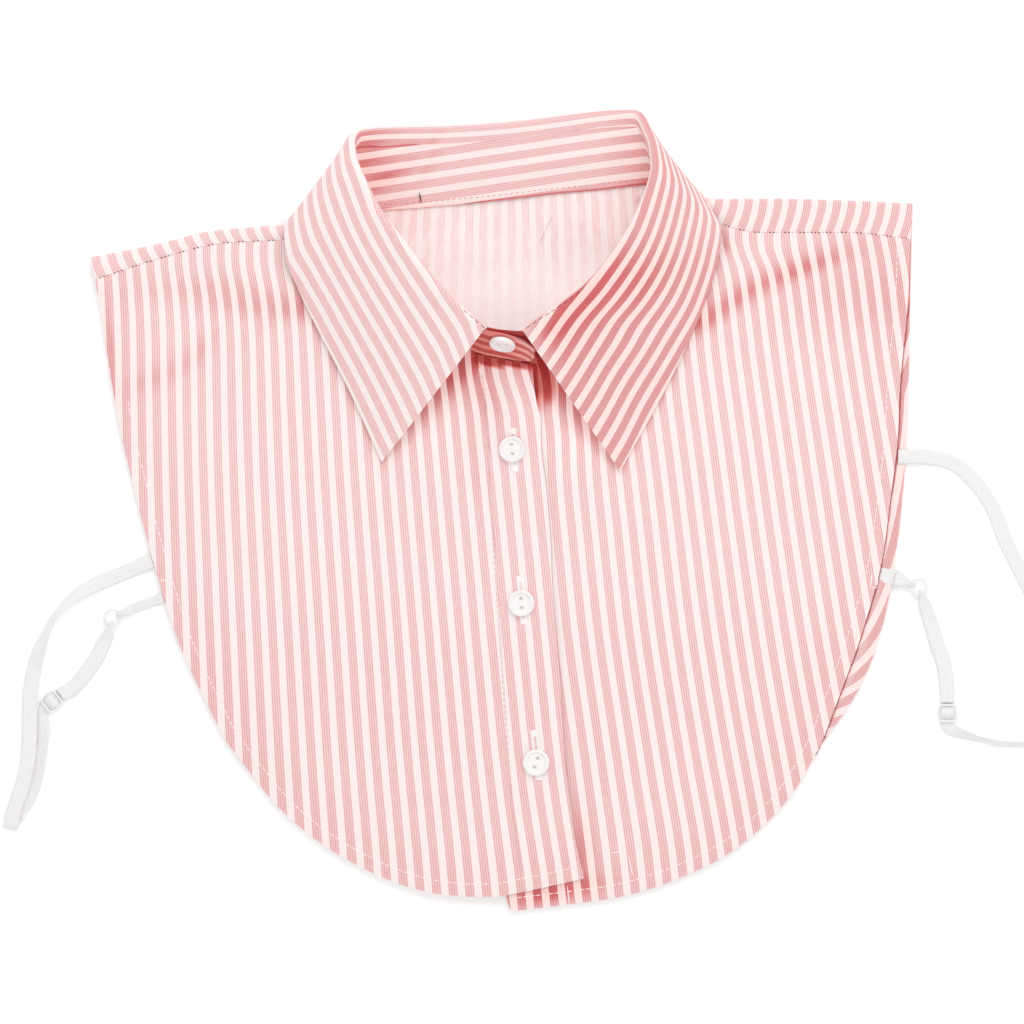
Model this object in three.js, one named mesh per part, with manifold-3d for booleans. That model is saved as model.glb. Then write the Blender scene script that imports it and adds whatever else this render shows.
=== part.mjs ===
// A shirt-front dickey lying flat on its back: a back panel, two buttoned fronts, a stand collar with
// a turned-down leaf, and an elastic strap on each side. Millimetres, +Z up off the table, +Y towards
// the collar, the table at Z = 0. Left and right are as seen from above.
import * as THREE from 'three';
import { mergeVertices } from 'three/addons/utils/BufferGeometryUtils.js';
import Module from 'manifold-3d';

const wasm = await Module();
wasm.setup();

// Driving dimensions.
const CLOTH = 1.0; // wall of every cloth piece
const LAYER = 1.6; // from the middle of one cloth layer to the middle of the layer on it
const SEAM = 0.35; // gap kept between two pieces that are sewn or laid together
const COLLAR_LIFT = 2.0; // how far the leaf lying under it lifts the back panel
const SHOULDER_ROLL = 1.7; // radius of the soft fold along each shoulder
const SHOULDER_RISE = 1.5; // how far the shoulder fold holds the fronts up
const COLLAR_ROLL = 1.7; // radius of the fold between the stand and the leaf
const NECK_REACH = 65; // how far from the neck the collar still holds the fronts up
const BUTTON = { radius: 6.0, thick: 2.6, rim: 1.4, hole: 0.9, pitch: 4.0 };
const STRAP = { width: 6.6, thick: 1.0 };
const RING = { radius: 3.6, wire: 0.65, height: 2.0 };
const SLIDER = { across: 8.8, along: 8.2, thick: 1.0, bar: 1.0, side: 1.0, height: 2.05 };

const BACK_MIDDLE = CLOTH / 2;
const FRONT_MIDDLE = BACK_MIDDLE + LAYER;

// A table is its column names and its rows.
const table = (columns, rows) => rows.map((row) => (
  Object.fromEntries(columns.split(' ').map((name, i) => [name, row[i]]))
));

// Outlines in plan, a row for each point that the shape turns at, from the shoulder down.
const BACK_OUTLINE = table('x y', [
  [-198.2, 112.1], [-193.6, 95], [-189.3, 68], [-181.8, 31], [-168.5, -20], [-155.5, -60],
  [-135.5, -101], [-107.0, -134], [-70, -153], [-20, -163], [30, -161], [75, -149], [110, -126],
  [129.9, -105.3], [146.7, -81], [156.4, -57], [163.8, -19.8], [168.7, 31], [170.0, 75],
  [170.6, 112], [171.0, 136.2],
]);
const BACK_CORNERS = [7, 12]; // rows where the hem starts and ends
const LEFT_FRONT_OUTLINE = table('x y', [
  [-196.2, 103.65], [-191.3, 73], [-184.5, 34], [-171.0, -20], [-158.0, -61], [-138.0, -103],
  [-109.8, -137.3], [-79.2, -158.9], [-48.0, -171.0], [-17.6, -173.3], [-5.2, -171.4],
]);
const LEFT_FRONT_CORNER = 5; // row where the side turns into the hem
const RIGHT_FRONT_OUTLINE = table('x y', [
  [170.1, 122.05], [169.2, 96.8], [165.4, 55], [164.4, 32], [161.1, 5], [157.0, -24],
  [147.6, -57.2], [139.0, -81.0], [129.9, -105.3], [114.8, -129.8], [90.5, -152.6], [60.3, -167.4],
  [38.3, -173.7], [16.4, -176.9],
]);
const RIGHT_FRONT_CORNER = 8;
const LEFT_BAND_SEAM = table('x y', [[-25.6, 70.0], [-18.4, -15.3], [-9.0, -131.9], [-5.2, -171.4]]);
const LEFT_BAND_EDGE = table('x y', [
  [0.4, 65.3], [4.1, 33.8], [8.5, -26.6], [12.6, -76.5], [14.9, -113], [19.1, -146.7],
  [23.4, -165.2],
]);
const RIGHT_BAND_SEAM = table('x y', [[0.6, 70.6], [7.0, -30], [16.4, -176.9]]);
const RIGHT_BAND_EDGE = table('x y', [[-25.6, 71.2], [-19.5, -40], [-11.9, -172], [-9.6, -180]]);

// Neck edge of the fronts, from the left shoulder round to the right one, with the height that the
// collar holds it up to.
const NECK_EDGE = table('x y z', [
  [-82.4, 127.15, 6.2], [-76.2, 123.6, 6.6], [-63.2, 109.4, 7.3], [-47.0, 88.4, 7.8],
  [-25.6, 70.0, 8.0], [0.6, 70.6, 8.0], [32.1, 93.9, 7.8], [48.7, 117.9, 7.3], [55.9, 132.9, 6.6],
  [59.2, 138.05, 6.2],
]);
const NECK_FRONT = 4; // last row on the left front

// Soft ridges pressed into the fronts: the middle, the heading, and the reach along and across.
const FOLDS = table('x y heading length width height', [
  [-128, 106, -35, 28, 9, 1.3], [-168, 62, 29, 22, 8, 1.0], [114, 99, 32, 32, 10, 1.7],
  [150, 78, 62, 26, 8, 1.0], [-96, -40, 80, 60, 12, 0.7], [92, -30, 97, 60, 12, 0.7],
]);

// Shoulders, a row for each station: the outer edge of the fold, and the seam to the front panel.
const LEFT_SHOULDER = table('foldX foldY seamX seamY', [
  [-198.2, 114.3, -196.2, 104.0], [-170.6, 119.7, -168.5, 113.2], [-140.9, 126.5, -138.6, 120.4],
  [-112.0, 128.6, -110.0, 122.1], [-84.8, 131.0, -82.4, 127.5],
]);
const RIGHT_SHOULDER = table('foldX foldY seamX seamY', [
  [60.8, 142.3, 59.2, 138.4], [77.9, 140.3, 74.0, 133.0], [107.1, 140.6, 103.0, 125.2],
  [140.0, 139.8, 140.0, 125.2], [171.0, 138.4, 170.1, 122.4],
]);

// Neck edge of the back panel, just under the foot of the collar stand.
const BACK_NECK_EDGE = table('x y', [
  [-84.8, 128.8], [-78.0, 135.6], [-66.0, 137.4], [-14.4, 141.7], [30.6, 146.4], [50.0, 147.4],
  [60.8, 140.1],
]);

// Collar ribs, from the left end of the leaf round the back of the neck to its right end. The foot is
// on the neck edge, the leaf folds over the top and its free edge is the edge. rise is how far the
// fold stands above the top, sag how far the middle of the leaf hangs below a straight line.
const COLLAR = table('footX footY footZ topX topY topZ edgeX edgeY edgeZ rise sag', [
  [-24.3, 71.5, 9.8, -20.8, 80.5, 29.0, -67.5, 22.0, 4.4, 2.2, -1.5],
  [-45.9, 89.5, 8.8, -39.6, 97.2, 29.5, -82.4, 54.9, 5.0, 2.2, -2.0],
  [-62.1, 110.2, 7.7, -54.6, 115.5, 28.5, -96.3, 81.9, 5.6, 2.2, -2.0],
  [-74.5, 124.5, 6.9, -67.9, 132.8, 26.0, -105.3, 100.4, 6.4, 2.2, -1.5],
  [-79.0, 128.4, 6.4, -75.3, 146.6, 22.0, -110.3, 113.0, 7.4, 2.6, -0.5],
  [-80.3, 131.0, 5.9, -78.6, 154.4, 18.5, -111.2, 123.6, 7.5, 3.0, 0.0],
  [-80.7, 132.6, 5.4, -79.2, 157.4, 16.4, -111.0, 128.3, 6.4, 3.2, 0.0],
  [-80.8, 134.2, 4.9, -79.6, 160.0, 14.2, -110.0, 129.9, 3.8, 3.4, 0.0],
  [-79.8, 135.0, 4.4, -78.8, 161.7, 12.2, -107.8, 129.4, 1.5, 3.8, 1.0],
  [-78.4, 135.3, 4.0, -77.4, 163.0, 10.4, -104.6, 128.2, 0.5, 4.0, 3.4],
  [-67.0, 135.4, 3.9, -66.0, 163.5, 9.5, -84.0, 124.2, 0.5, 4.6, 5.0],
  [-40.5, 137.2, 3.9, -40.4, 164.4, 9.5, -48.2, 125.6, 0.5, 4.6, 5.2],
  [-14.4, 139.7, 3.9, -14.4, 166.4, 9.5, -14.4, 127.8, 0.5, 4.6, 5.2],
  [8.1, 142.4, 3.9, 10.3, 169.6, 9.5, 19.4, 131.4, 0.5, 4.6, 5.2],
  [30.6, 144.4, 3.9, 32.7, 171.4, 9.5, 52.2, 135.9, 0.5, 4.6, 5.0],
  [51.0, 146.6, 4.0, 46.8, 171.4, 10.4, 74.0, 138.6, 0.5, 4.0, 3.4],
  [56.6, 146.0, 4.9, 52.2, 164.7, 14.2, 79.6, 142.2, 3.8, 3.4, 0.0],
  [57.0, 144.6, 5.4, 53.4, 161.4, 16.4, 81.6, 140.6, 6.3, 3.2, 0.0],
  [57.0, 143.0, 5.9, 54.2, 158.0, 18.5, 83.4, 135.6, 7.6, 3.0, 0.0],
  [56.2, 139.3, 6.4, 54.1, 152.4, 22.0, 86.0, 125.1, 7.2, 2.6, -0.5],
  [54.2, 133.5, 6.9, 51.3, 143.0, 26.0, 83.3, 112.5, 6.4, 2.2, -1.5],
  [47.2, 118.7, 7.6, 42.7, 124.2, 28.5, 76.5, 90.9, 5.4, 2.2, -2.0],
  [30.8, 95.0, 8.0, 25.1, 101.1, 29.5, 60.8, 56.7, 4.8, 2.2, -2.0],
  [-1.3, 72.4, 8.2, -4.3, 79.9, 28.0, 39.6, 18.0, 4.2, 2.2, -1.5],
]);
// The stand runs on past the leaf at both ends: its left end laps over the right one and is rounded.
const STAND_LEFT_END = table('footX footY footZ topX topY topZ', [
  [0.8, 69.0, 12.8, 0.8, 72.8, 19.8], [-1.0, 67.6, 10.4, -1.2, 74.4, 23.6],
  [-5.0, 67.8, 9.8, -5.0, 76.4, 26.6], [-13.0, 69.0, 9.8, -13.0, 78.9, 28.2],
]);
const STAND_RIGHT_END = table('footX footY footZ topX topY topZ', [
  [-13.0, 71.9, 8.2, -14.0, 80.6, 25.8], [-25.0, 75.2, 8.4, -23.6, 82.6, 24.4],
]);

// Buttons: the middle of each in plan, and the turn of its two holes. The stand's button sits at a
// part of the way up its left end.
const FRONT_BUTTONS = table('name x y turn', [
  ['button_1', -9.0, 27.9, 94], ['button_2', -4.9, -41.4, 94], ['button_3', 1.8, -113.0, 70],
]);
const STAND_BUTTON = { station: STAND_LEFT_END[3], up: 0.74, turn: 12 };

// Fittings of each strap: the middle of the ring and of the slider, and the way that the elastic
// leaves the ring (strapWay, tabWay) and the slider (way), in degrees from +X.
const [LEFT_FITTINGS, RIGHT_FITTINGS] = table('ringX ringY strapWay tabWay x y way', [
  [-188.5, -47.9, -105, 25, -216.0, -85.7, 38],
  [173.9, -34.2, -71, 158, 186.8, -90.9, 90],
]);

// Elastic, a row for each station: the middle of its width, the height of its lowest edge, how far it
// is turned on edge (90 stands on edge), the heading of its width, and its width.
const ELASTIC = 'x y base turn across width';
const LEFT_LEG = table(ELASTIC, [
  [-171.0, -22.3, 1.0, 0, -68, 6.6], [-179.6, -26.1, 0.1, 0, -67, 6.6],
  [-188.1, -29.7, 0.0, 0, -66, 6.6], [-198.0, -33.8, 0.0, 15, -62, 6.6],
  [-207.5, -39.6, 0.0, 45, -51, 6.6], [-214.6, -47.2, 0.0, 62, -36, 6.6],
  [-219.1, -56.2, 0.0, 48, -23, 6.6], [-222.5, -65.3, 0.0, 18, -15, 6.6],
  [-224.6, -74.7, 0.3, 0, -8, 6.6], [-225.8, -83.7, 0.9, 0, -3, 6.6],
  [-225.9, -95.9, 1.5, 0, -1, 6.6], [-226.2, -107.6, 2.1, 0, -6, 6.6],
  [-227.8, -118.8, 2.1, 0, -14, 6.6], [-230.9, -128.8, 2.0, 0, -19, 6.6],
  [-233.4, -136.6, 1.9, 0, -17, 6.6], [-234.4, -141.2, 1.9, 0, -14, 6.6],
  [-234.6, -141.9, 1.8, 0, -14, 6.6], [-234.7, -142.5, 1.5, 0, -14, 6.6],
  [-234.8, -142.8, 0.95, 0, -14, 6.6], [-234.7, -142.5, 0.4, 0, -14, 6.6],
  [-234.5, -141.9, 0.05, 0, -14, 6.6], [-234.1, -141.2, 0.0, 0, -14, 6.6],
  [-231.5, -137.0, 0.0, 0, -18, 6.6], [-227.6, -131.0, 0.0, 0, -20, 6.6],
  [-223.9, -122.4, 0.0, 8, -12, 6.6], [-221.4, -111.6, 0.0, 25, -8, 6.6],
  [-219.8, -102.0, 0.0, 34, -8, 6.6], [-219.3, -96.5, 0.0, 12, -20, 6.4],
  [-219.8, -92.0, 0.0, 0, -38, 6.2],
]);
const LEFT_DOUBLED = table(ELASTIC, [
  [-208.7, -81.1, 0, 0, -47, 6.6], [-203.0, -75.9, 0, 0, -43, 6.6], [-199.4, -71.3, 0, 0, -37, 6.6],
  [-195.3, -65.0, 0, 0, -30, 6.6], [-192.2, -58.6, 0, 0, -20, 6.2],
]);
const LEFT_TAB = table(ELASTIC, [
  [-165.8, -38.8, 1.0, 0, -68, 4.4], [-170.6, -40.8, 0.2, 0, -67, 4.4],
  [-178.4, -43.4, 0.0, 0, -66, 4.4],
]);
const RIGHT_LEG = table(ELASTIC, [
  [164.6, 24.3, 1.35, 0, -90, 6.6], [171.4, 24.5, 1.35, 0, -93, 6.6],
  [179.4, 24.0, 0.1, 0, -102, 6.6], [188.1, 22.0, 0.0, 0, -117, 6.6],
  [198.0, 14.4, 0.0, 0, -139, 6.6], [207.0, 1.8, 0.0, 0, -152, 6.6],
  [212.9, -13.0, 0.0, 0, -157, 6.6], [221.4, -30.2, 0.0, 0, -154, 6.6],
  [228.6, -44.6, 0.0, 15, -157, 6.6], [234.0, -60.3, 0.0, 35, -168, 6.6],
  [235.6, -76.0, 0.0, 60, -180, 6.6], [234.4, -89.6, 0.0, 75, -193, 6.6],
  [230.0, -99.6, 0.0, 75, -219, 6.6], [221.4, -105.0, 0.0, 68, -256, 6.6],
  [210.7, -104.6, 0.0, 66, -278, 6.6], [202.5, -102.9, 0.0, 66, -285, 6.6],
  [194.6, -100.6, 0.0, 52, -294, 6.6], [190.0, -99.0, 0.0, 26, -318, 6.4],
  [187.6, -97.4, 0.0, 4, -342, 6.2],
]);
const RIGHT_DOUBLED = table(ELASTIC, [
  [186.6, -79.3, 0, 0, -359, 6.6], [185.5, -69.9, 0, 0, -353, 6.6], [182.2, -59.8, 0, 0, -342, 6.6],
  [178.9, -48.8, 0, 0, -340, 6.2],
]);
const RIGHT_TAB = table(ELASTIC, [
  [156.3, -28.8, 1.35, 0, 75, 7.4], [163.0, -30.2, 1.35, 0, 73, 7.2],
  [165.6, -30.9, 0.6, 0, 70, 6.4],
]);

const radians = (degrees) => degrees * Math.PI / 180;
const mix = (a, b, t) => a + (b - a) * t;
const clamp01 = (t) => Math.min(1, Math.max(0, t));
const ease = (t) => clamp01(t) ** 2 * (3 - 2 * clamp01(t));
const plan = (row) => new THREE.Vector3(row.x, row.y, 0);
const mixPoints = (a, b, t) => a.clone().lerp(b, t);

// Points spread evenly along a smooth line through the rows of an outline.
function along(rows, count) {
  const curve = new THREE.CatmullRomCurve3(rows.map(plan), false, 'centripetal');
  return Array.from({ length: count + 1 }, (_, i) => curve.getPointAt(i / count));
}

// Monotone cubic through values at ts: it passes the rows without swinging past them.
function monotone(ts, values) {
  const secants = values.slice(1).map((value, i) => (value - values[i]) / (ts[i + 1] - ts[i]));
  const slopes = values.map((_, i) => {
    if (i === 0) return secants[0];
    if (i === values.length - 1) return secants[i - 1];
    const before = secants[i - 1];
    const after = secants[i];
    return before * after <= 0 ? 0 : 2 * before * after / (before + after);
  });
  return (t) => {
    let i = 0;
    while (i < ts.length - 2 && t > ts[i + 1]) i += 1;
    const width = ts[i + 1] - ts[i];
    const s = (t - ts[i]) / width;
    const cubic = s * s * (3 - 2 * s);
    return values[i] * (1 - cubic) + values[i + 1] * cubic
      + width * (slopes[i] * s * (1 - s) ** 2 - slopes[i + 1] * s * s * (1 - s));
  };
}

// Rows between the rows of a table: every column follows a monotone cubic over the distance
// travelled, and each stretch is cut in pieces no longer than step.
function refine(rows, keys, travelled, step) {
  const ts = rows.reduce((list, row, i) => (
    i === 0 ? [0] : [...list, list[i - 1] + Math.max(travelled(rows[i - 1], row), 1e-6)]
  ), []);
  const columns = keys.map((key) => monotone(ts, rows.map((row) => row[key])));
  const stations = ts.slice(1).flatMap((end, i) => {
    const pieces = Math.max(1, Math.round((end - ts[i]) / step));
    return Array.from({ length: pieces }, (_, k) => mix(ts[i], end, k / pieces));
  });
  return [...stations, ts[ts.length - 1]].map((t) => (
    Object.fromEntries(keys.map((key, i) => [key, columns[i](t)]))
  ));
}

// A grid of points filled in between four edges in plan, each given as a list of points: the edges
// blend across the grid. Rows run from the top edge to the bottom edge.
function patch(top, bottom, left, right, height) {
  return left.map((leftPoint, j) => top.map((topPoint, i) => {
    const u = i / (top.length - 1);
    const v = j / (left.length - 1);
    const point = mixPoints(topPoint, bottom[i], v).add(mixPoints(leftPoint, right[j], u));
    const upper = mixPoints(top[0], top[top.length - 1], u);
    const lower = mixPoints(bottom[0], bottom[bottom.length - 1], u);
    point.sub(mixPoints(upper, lower, v));
    point.z = height(point.x, point.y);
    return point;
  }));
}

// A closed wall of the given thickness on both sides of one or more grids, joined where they touch.
function thicken(grids, thickness) {
  const points = [];
  const seen = new Map();
  const indexOf = (point) => {
    const key = point.toArray().map((value) => Math.round(value * 1000)).join();
    if (!seen.has(key)) {
      seen.set(key, points.length);
      points.push(point);
    }
    return seen.get(key);
  };
  const faces = [];
  const addFace = (...corners) => {
    if (new Set(corners).size === 3) faces.push(corners);
  };
  grids.forEach((grid) => {
    const ids = grid.map((row) => row.map(indexOf));
    ids.slice(1).forEach((row, j) => row.slice(1).forEach((_, i) => {
      addFace(ids[j][i], row[i], row[i + 1]);
      addFace(ids[j][i], row[i + 1], ids[j][i + 1]);
    }));
  });
  const normals = points.map(() => new THREE.Vector3());
  faces.forEach(([a, b, c]) => {
    const normal = points[b].clone().sub(points[a]).cross(points[c].clone().sub(points[a]));
    [a, b, c].forEach((id) => normals[id].add(normal));
  });
  const count = points.length;
  const offset = (side) => points.flatMap((point, i) => (
    point.clone().addScaledVector(normals[i].clone().normalize(), side * thickness / 2).toArray()
  ));
  const edges = new Map();
  faces.forEach((face) => face.forEach((from, k) => {
    const to = face[(k + 1) % 3];
    edges.set(`${from},${to}`, [from, to]);
  }));
  const rims = [...edges.values()].filter(([from, to]) => !edges.has(`${to},${from}`));
  const indices = [
    ...faces.flat(),
    ...faces.flatMap(([a, b, c]) => [a + count, c + count, b + count]),
    ...rims.flatMap(([from, to]) => [from, from + count, to, to, from + count, to + count]),
  ];
  const geometry = new THREE.BufferGeometry();
  const positions = [...offset(1), ...offset(-1)];
  geometry.setAttribute('position', new THREE.Float32BufferAttribute(positions, 3));
  geometry.setIndex(indices);
  return geometry;
}

// Heights of the middle of the cloth. The back panel lies on the table and climbs over the part of
// the leaf that is under it. The fronts lie on the back and are held up at the neck and shoulders.
const leafEdgeY = (x) => 124.9 + 0.086 * (x + 14.4);

function backHeight(x, y) {
  const overLeaf = ease((y - leafEdgeY(x)) / 22 + 1);
  const insideLeft = 1 - ease((-112 - x) / 22);
  const insideRight = 1 - ease((x - 82) / 22);
  return BACK_MIDDLE + COLLAR_LIFT * overLeaf * insideLeft * insideRight;
}

const neckPoints = refine(NECK_EDGE, ['x', 'y', 'z'], (a, b) => Math.hypot(b.x - a.x, b.y - a.y), 4);
const shoulderPoints = [LEFT_SHOULDER, RIGHT_SHOULDER].map((rows) => (
  refine(rows, ['seamX', 'seamY'], (a, b) => b.seamX - a.seamX, 4)
));

function shoulderDistance(x, y) {
  const rows = shoulderPoints[x < 0 ? 0 : 1];
  const distances = rows.map((row) => Math.hypot(x - row.seamX, y - row.seamY));
  return Math.min(...distances);
}

function frontHeight(x, y) {
  const nearest = neckPoints.reduce((best, point) => {
    const distance = Math.hypot(x - point.x, y - point.y);
    return distance < best.distance ? { distance, z: point.z } : best;
  }, { distance: Infinity, z: 0 });
  const neck = (nearest.z - FRONT_MIDDLE) * (1 - clamp01(nearest.distance / NECK_REACH)) ** 2;
  const shoulder = SHOULDER_RISE * (1 - clamp01(shoulderDistance(x, y) / 25)) ** 2;
  const ridges = FOLDS.reduce((sum, fold) => {
    const heading = radians(fold.heading);
    const lengthwise = (x - fold.x) * Math.cos(heading) + (y - fold.y) * Math.sin(heading);
    const crosswise = (y - fold.y) * Math.cos(heading) - (x - fold.x) * Math.sin(heading);
    return sum + fold.height * Math.exp(-((lengthwise / fold.length) ** 2) - (crosswise / fold.width) ** 2);
  }, 0);
  return FRONT_MIDDLE + Math.hypot(neck, shoulder) + ridges;
}

// The left front laps over the right one, so it is a layer higher near the middle.
const lappedHeight = (x, y) => frontHeight(x, y) + LAYER * (1 - ease((-30 - x) / 45));

const CLOTH_PINK = '#f3c3c4';
const ELASTIC_WHITE = '#f3f2f0';
const PLASTIC_WHITE = '#f7f6f3';

// Nodes.
const dickey = new THREE.Group();
dickey.name = 'dickey';

function add(name, geometry, color) {
  const material = new THREE.MeshStandardMaterial({ color, roughness: 0.8 });
  const mesh = new THREE.Mesh(geometry, material);
  mesh.name = name;
  dickey.add(mesh);
}

// Back panel. Along each shoulder it folds over to the front and ends at the front's shoulder seam.
const LEFT_COLUMNS = 8;
const NECK_COLUMNS = 10;
const RIGHT_COLUMNS = 8;
const SIDE_ROWS = 15;
const shoulderStations = (rows, columns) => {
  const step = (rows[rows.length - 1].foldX - rows[0].foldX) / columns;
  const line = (key) => monotone(rows.map((row) => row.foldX), rows.map((row) => row[key]));
  return Array.from({ length: columns + 1 }, (_, i) => {
    const x = rows[0].foldX + i * step;
    return { foldX: x, foldY: line('foldY')(x), seamX: line('seamX')(x), seamY: line('seamY')(x) };
  });
};
const leftStations = shoulderStations(LEFT_SHOULDER, LEFT_COLUMNS);
const rightStations = shoulderStations(RIGHT_SHOULDER, RIGHT_COLUMNS);
const foldStart = (row) => new THREE.Vector3(row.foldX, row.foldY - CLOTH / 2 - SHOULDER_ROLL, 0);
const backTop = [
  ...leftStations.map(foldStart),
  ...along(BACK_NECK_EDGE, NECK_COLUMNS).slice(1, -1),
  ...rightStations.map(foldStart),
];
const backGrid = patch(
  backTop,
  along(BACK_OUTLINE.slice(BACK_CORNERS[0], BACK_CORNERS[1] + 1), backTop.length - 1),
  along([backTop[0], ...BACK_OUTLINE.slice(1, BACK_CORNERS[0] + 1)], SIDE_ROWS),
  along([backTop[backTop.length - 1], ...BACK_OUTLINE.slice(BACK_CORNERS[1], -1).reverse()], SIDE_ROWS),
  backHeight,
);

// The shoulder fold at one station, from the back panel round to the seam.
function shoulderFold(row) {
  const start = foldStart(row);
  start.z = backHeight(start.x, start.y);
  const middleZ = start.z + SHOULDER_ROLL;
  const turn = [-60, -30, 0, 30, 60, 90].map((angle) => new THREE.Vector3(
    start.x,
    start.y + SHOULDER_ROLL * Math.cos(radians(angle)),
    middleZ + SHOULDER_ROLL * Math.sin(radians(angle)),
  ));
  const last = turn[turn.length - 1];
  const seam = new THREE.Vector3(row.seamX, row.seamY, frontHeight(row.seamX, row.seamY));
  return [start, ...turn, mixPoints(last, seam, 0.5), seam];
}
const foldGrid = (stations) => {
  const folds = stations.map(shoulderFold);
  return folds[0].map((_, k) => folds.map((fold) => fold[k])).reverse();
};
add('back_panel', thicken([backGrid, foldGrid(leftStations), foldGrid(rightStations)], CLOTH), CLOTH_PINK);

// Fronts.
const NECK_PART = 6;
const FRONT_ROWS = 15;
const seamEdge = (row) => new THREE.Vector3(row.seamX, row.seamY - SEAM, 0);
const shifted = (rows, dx) => rows.map((row) => ({ x: row.x + dx, y: row.y }));
const leftNeck = NECK_EDGE.slice(0, NECK_FRONT + 1);
const rightNeck = NECK_EDGE.slice(NECK_FRONT + 1);
const leftTop = [
  ...leftStations.map(seamEdge),
  ...along(leftNeck, NECK_PART).slice(1),
];
add('left_front', thicken([patch(
  leftTop,
  along(LEFT_FRONT_OUTLINE.slice(LEFT_FRONT_CORNER), leftTop.length - 1),
  along(LEFT_FRONT_OUTLINE.slice(0, LEFT_FRONT_CORNER + 1), FRONT_ROWS),
  along(LEFT_BAND_SEAM, FRONT_ROWS),
  lappedHeight,
)], CLOTH), CLOTH_PINK);
const rightTop = [
  ...along(rightNeck, NECK_PART),
  ...rightStations.slice(1).map(seamEdge),
];
add('right_front', thicken([patch(
  rightTop,
  along(RIGHT_FRONT_OUTLINE.slice(RIGHT_FRONT_CORNER).reverse(), rightTop.length - 1),
  along(RIGHT_BAND_SEAM, FRONT_ROWS),
  along(RIGHT_FRONT_OUTLINE.slice(0, RIGHT_FRONT_CORNER + 1), FRONT_ROWS),
  frontHeight,
)], CLOTH), CLOTH_PINK);

// Bands, sewn on along the fronts' inner edges. The left one carries the buttons.
const BAND_COLUMNS = 3;
const BAND_ROWS = 18;
function band(leftRows, rightRows, height) {
  const left = along(leftRows, BAND_ROWS);
  const right = along(rightRows, BAND_ROWS);
  const across = (j) => Array.from({ length: BAND_COLUMNS + 1 }, (_, i) => (
    mixPoints(left[j], right[j], i / BAND_COLUMNS)
  ));
  return thicken([patch(across(0), across(BAND_ROWS), left, right, height)], CLOTH);
}
add('left_band', band(shifted(LEFT_BAND_SEAM, SEAM), LEFT_BAND_EDGE, lappedHeight), CLOTH_PINK);
add('right_band', band(RIGHT_BAND_EDGE, shifted(RIGHT_BAND_SEAM, -SEAM), frontHeight), CLOTH_PINK);

// Collar. Ribs between the rows of the tables follow the distance along the foot and the edge.
const STAND_KEYS = ['footX', 'footY', 'footZ', 'topX', 'topY', 'topZ'];
const LEAF_KEYS = [...STAND_KEYS, 'edgeX', 'edgeY', 'edgeZ', 'rise', 'sag'];
const pointOf = (row, end) => new THREE.Vector3(row[`${end}X`], row[`${end}Y`], row[`${end}Z`]);
const travel = (ends) => (a, b) => (
  ends.reduce((sum, end) => sum + pointOf(a, end).distanceTo(pointOf(b, end)), 0) / ends.length
);
const STAND_ROWS = 3;
const standRibs = refine(
  [...STAND_LEFT_END, ...COLLAR, ...STAND_RIGHT_END], STAND_KEYS, travel(['foot', 'top']), 8,
);
const standGrid = Array.from({ length: STAND_ROWS + 1 }, (_, k) => (
  standRibs.map((rib) => mixPoints(pointOf(rib, 'foot'), pointOf(rib, 'top'), k / STAND_ROWS))
));
add('collar_stand', thicken([standGrid], CLOTH), CLOTH_PINK);

// One rib of the leaf: up from the top of the stand, round the fold, and down to the free edge.
const FOLD_STEPS = 4;
const FALL_STEPS = 6;
function leafRib(rib, before, after) {
  const top = pointOf(rib, 'top');
  const edge = pointOf(rib, 'edge');
  const up = top.clone().sub(pointOf(rib, 'foot')).normalize();
  const round = pointOf(after, 'top').sub(pointOf(before, 'top')).normalize();
  const out = up.clone().cross(round).normalize();
  const start = top.clone().addScaledVector(up, SEAM);
  const crest = top.clone().addScaledVector(up, rib.rise);
  const middle = crest.clone().addScaledVector(out, COLLAR_ROLL);
  const aim = mixPoints(middle, edge, 0.42);
  aim.z = Math.max(BACK_MIDDLE, aim.z - rib.sag);
  const way = aim.clone().sub(middle);
  const turn = Math.atan2(way.dot(out), way.dot(up));
  const fold = Array.from({ length: FOLD_STEPS + 1 }, (_, k) => {
    const angle = turn * k / FOLD_STEPS;
    return middle.clone()
      .addScaledVector(out, -COLLAR_ROLL * Math.cos(angle))
      .addScaledVector(up, COLLAR_ROLL * Math.sin(angle));
  });
  const leaving = fold[FOLD_STEPS];
  const fall = Array.from({ length: FALL_STEPS }, (_, k) => {
    const t = (k + 1) / FALL_STEPS;
    const point = mixPoints(mixPoints(leaving, aim, t), mixPoints(aim, edge, t), t);
    point.z = Math.max(BACK_MIDDLE, point.z);
    return point;
  });
  return [start, ...fold, ...fall];
}
const leafRibs = refine(COLLAR, LEAF_KEYS, travel(['foot', 'top', 'edge']), 9);
const leafSections = leafRibs.map((rib, i) => (
  leafRib(rib, leafRibs[Math.max(0, i - 1)], leafRibs[Math.min(leafRibs.length - 1, i + 1)])
));
const leafGrid = leafSections[0].map((_, k) => leafSections.map((section) => section[k]));
add('collar_fall', thicken([leafGrid], CLOTH), CLOTH_PINK);

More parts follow.
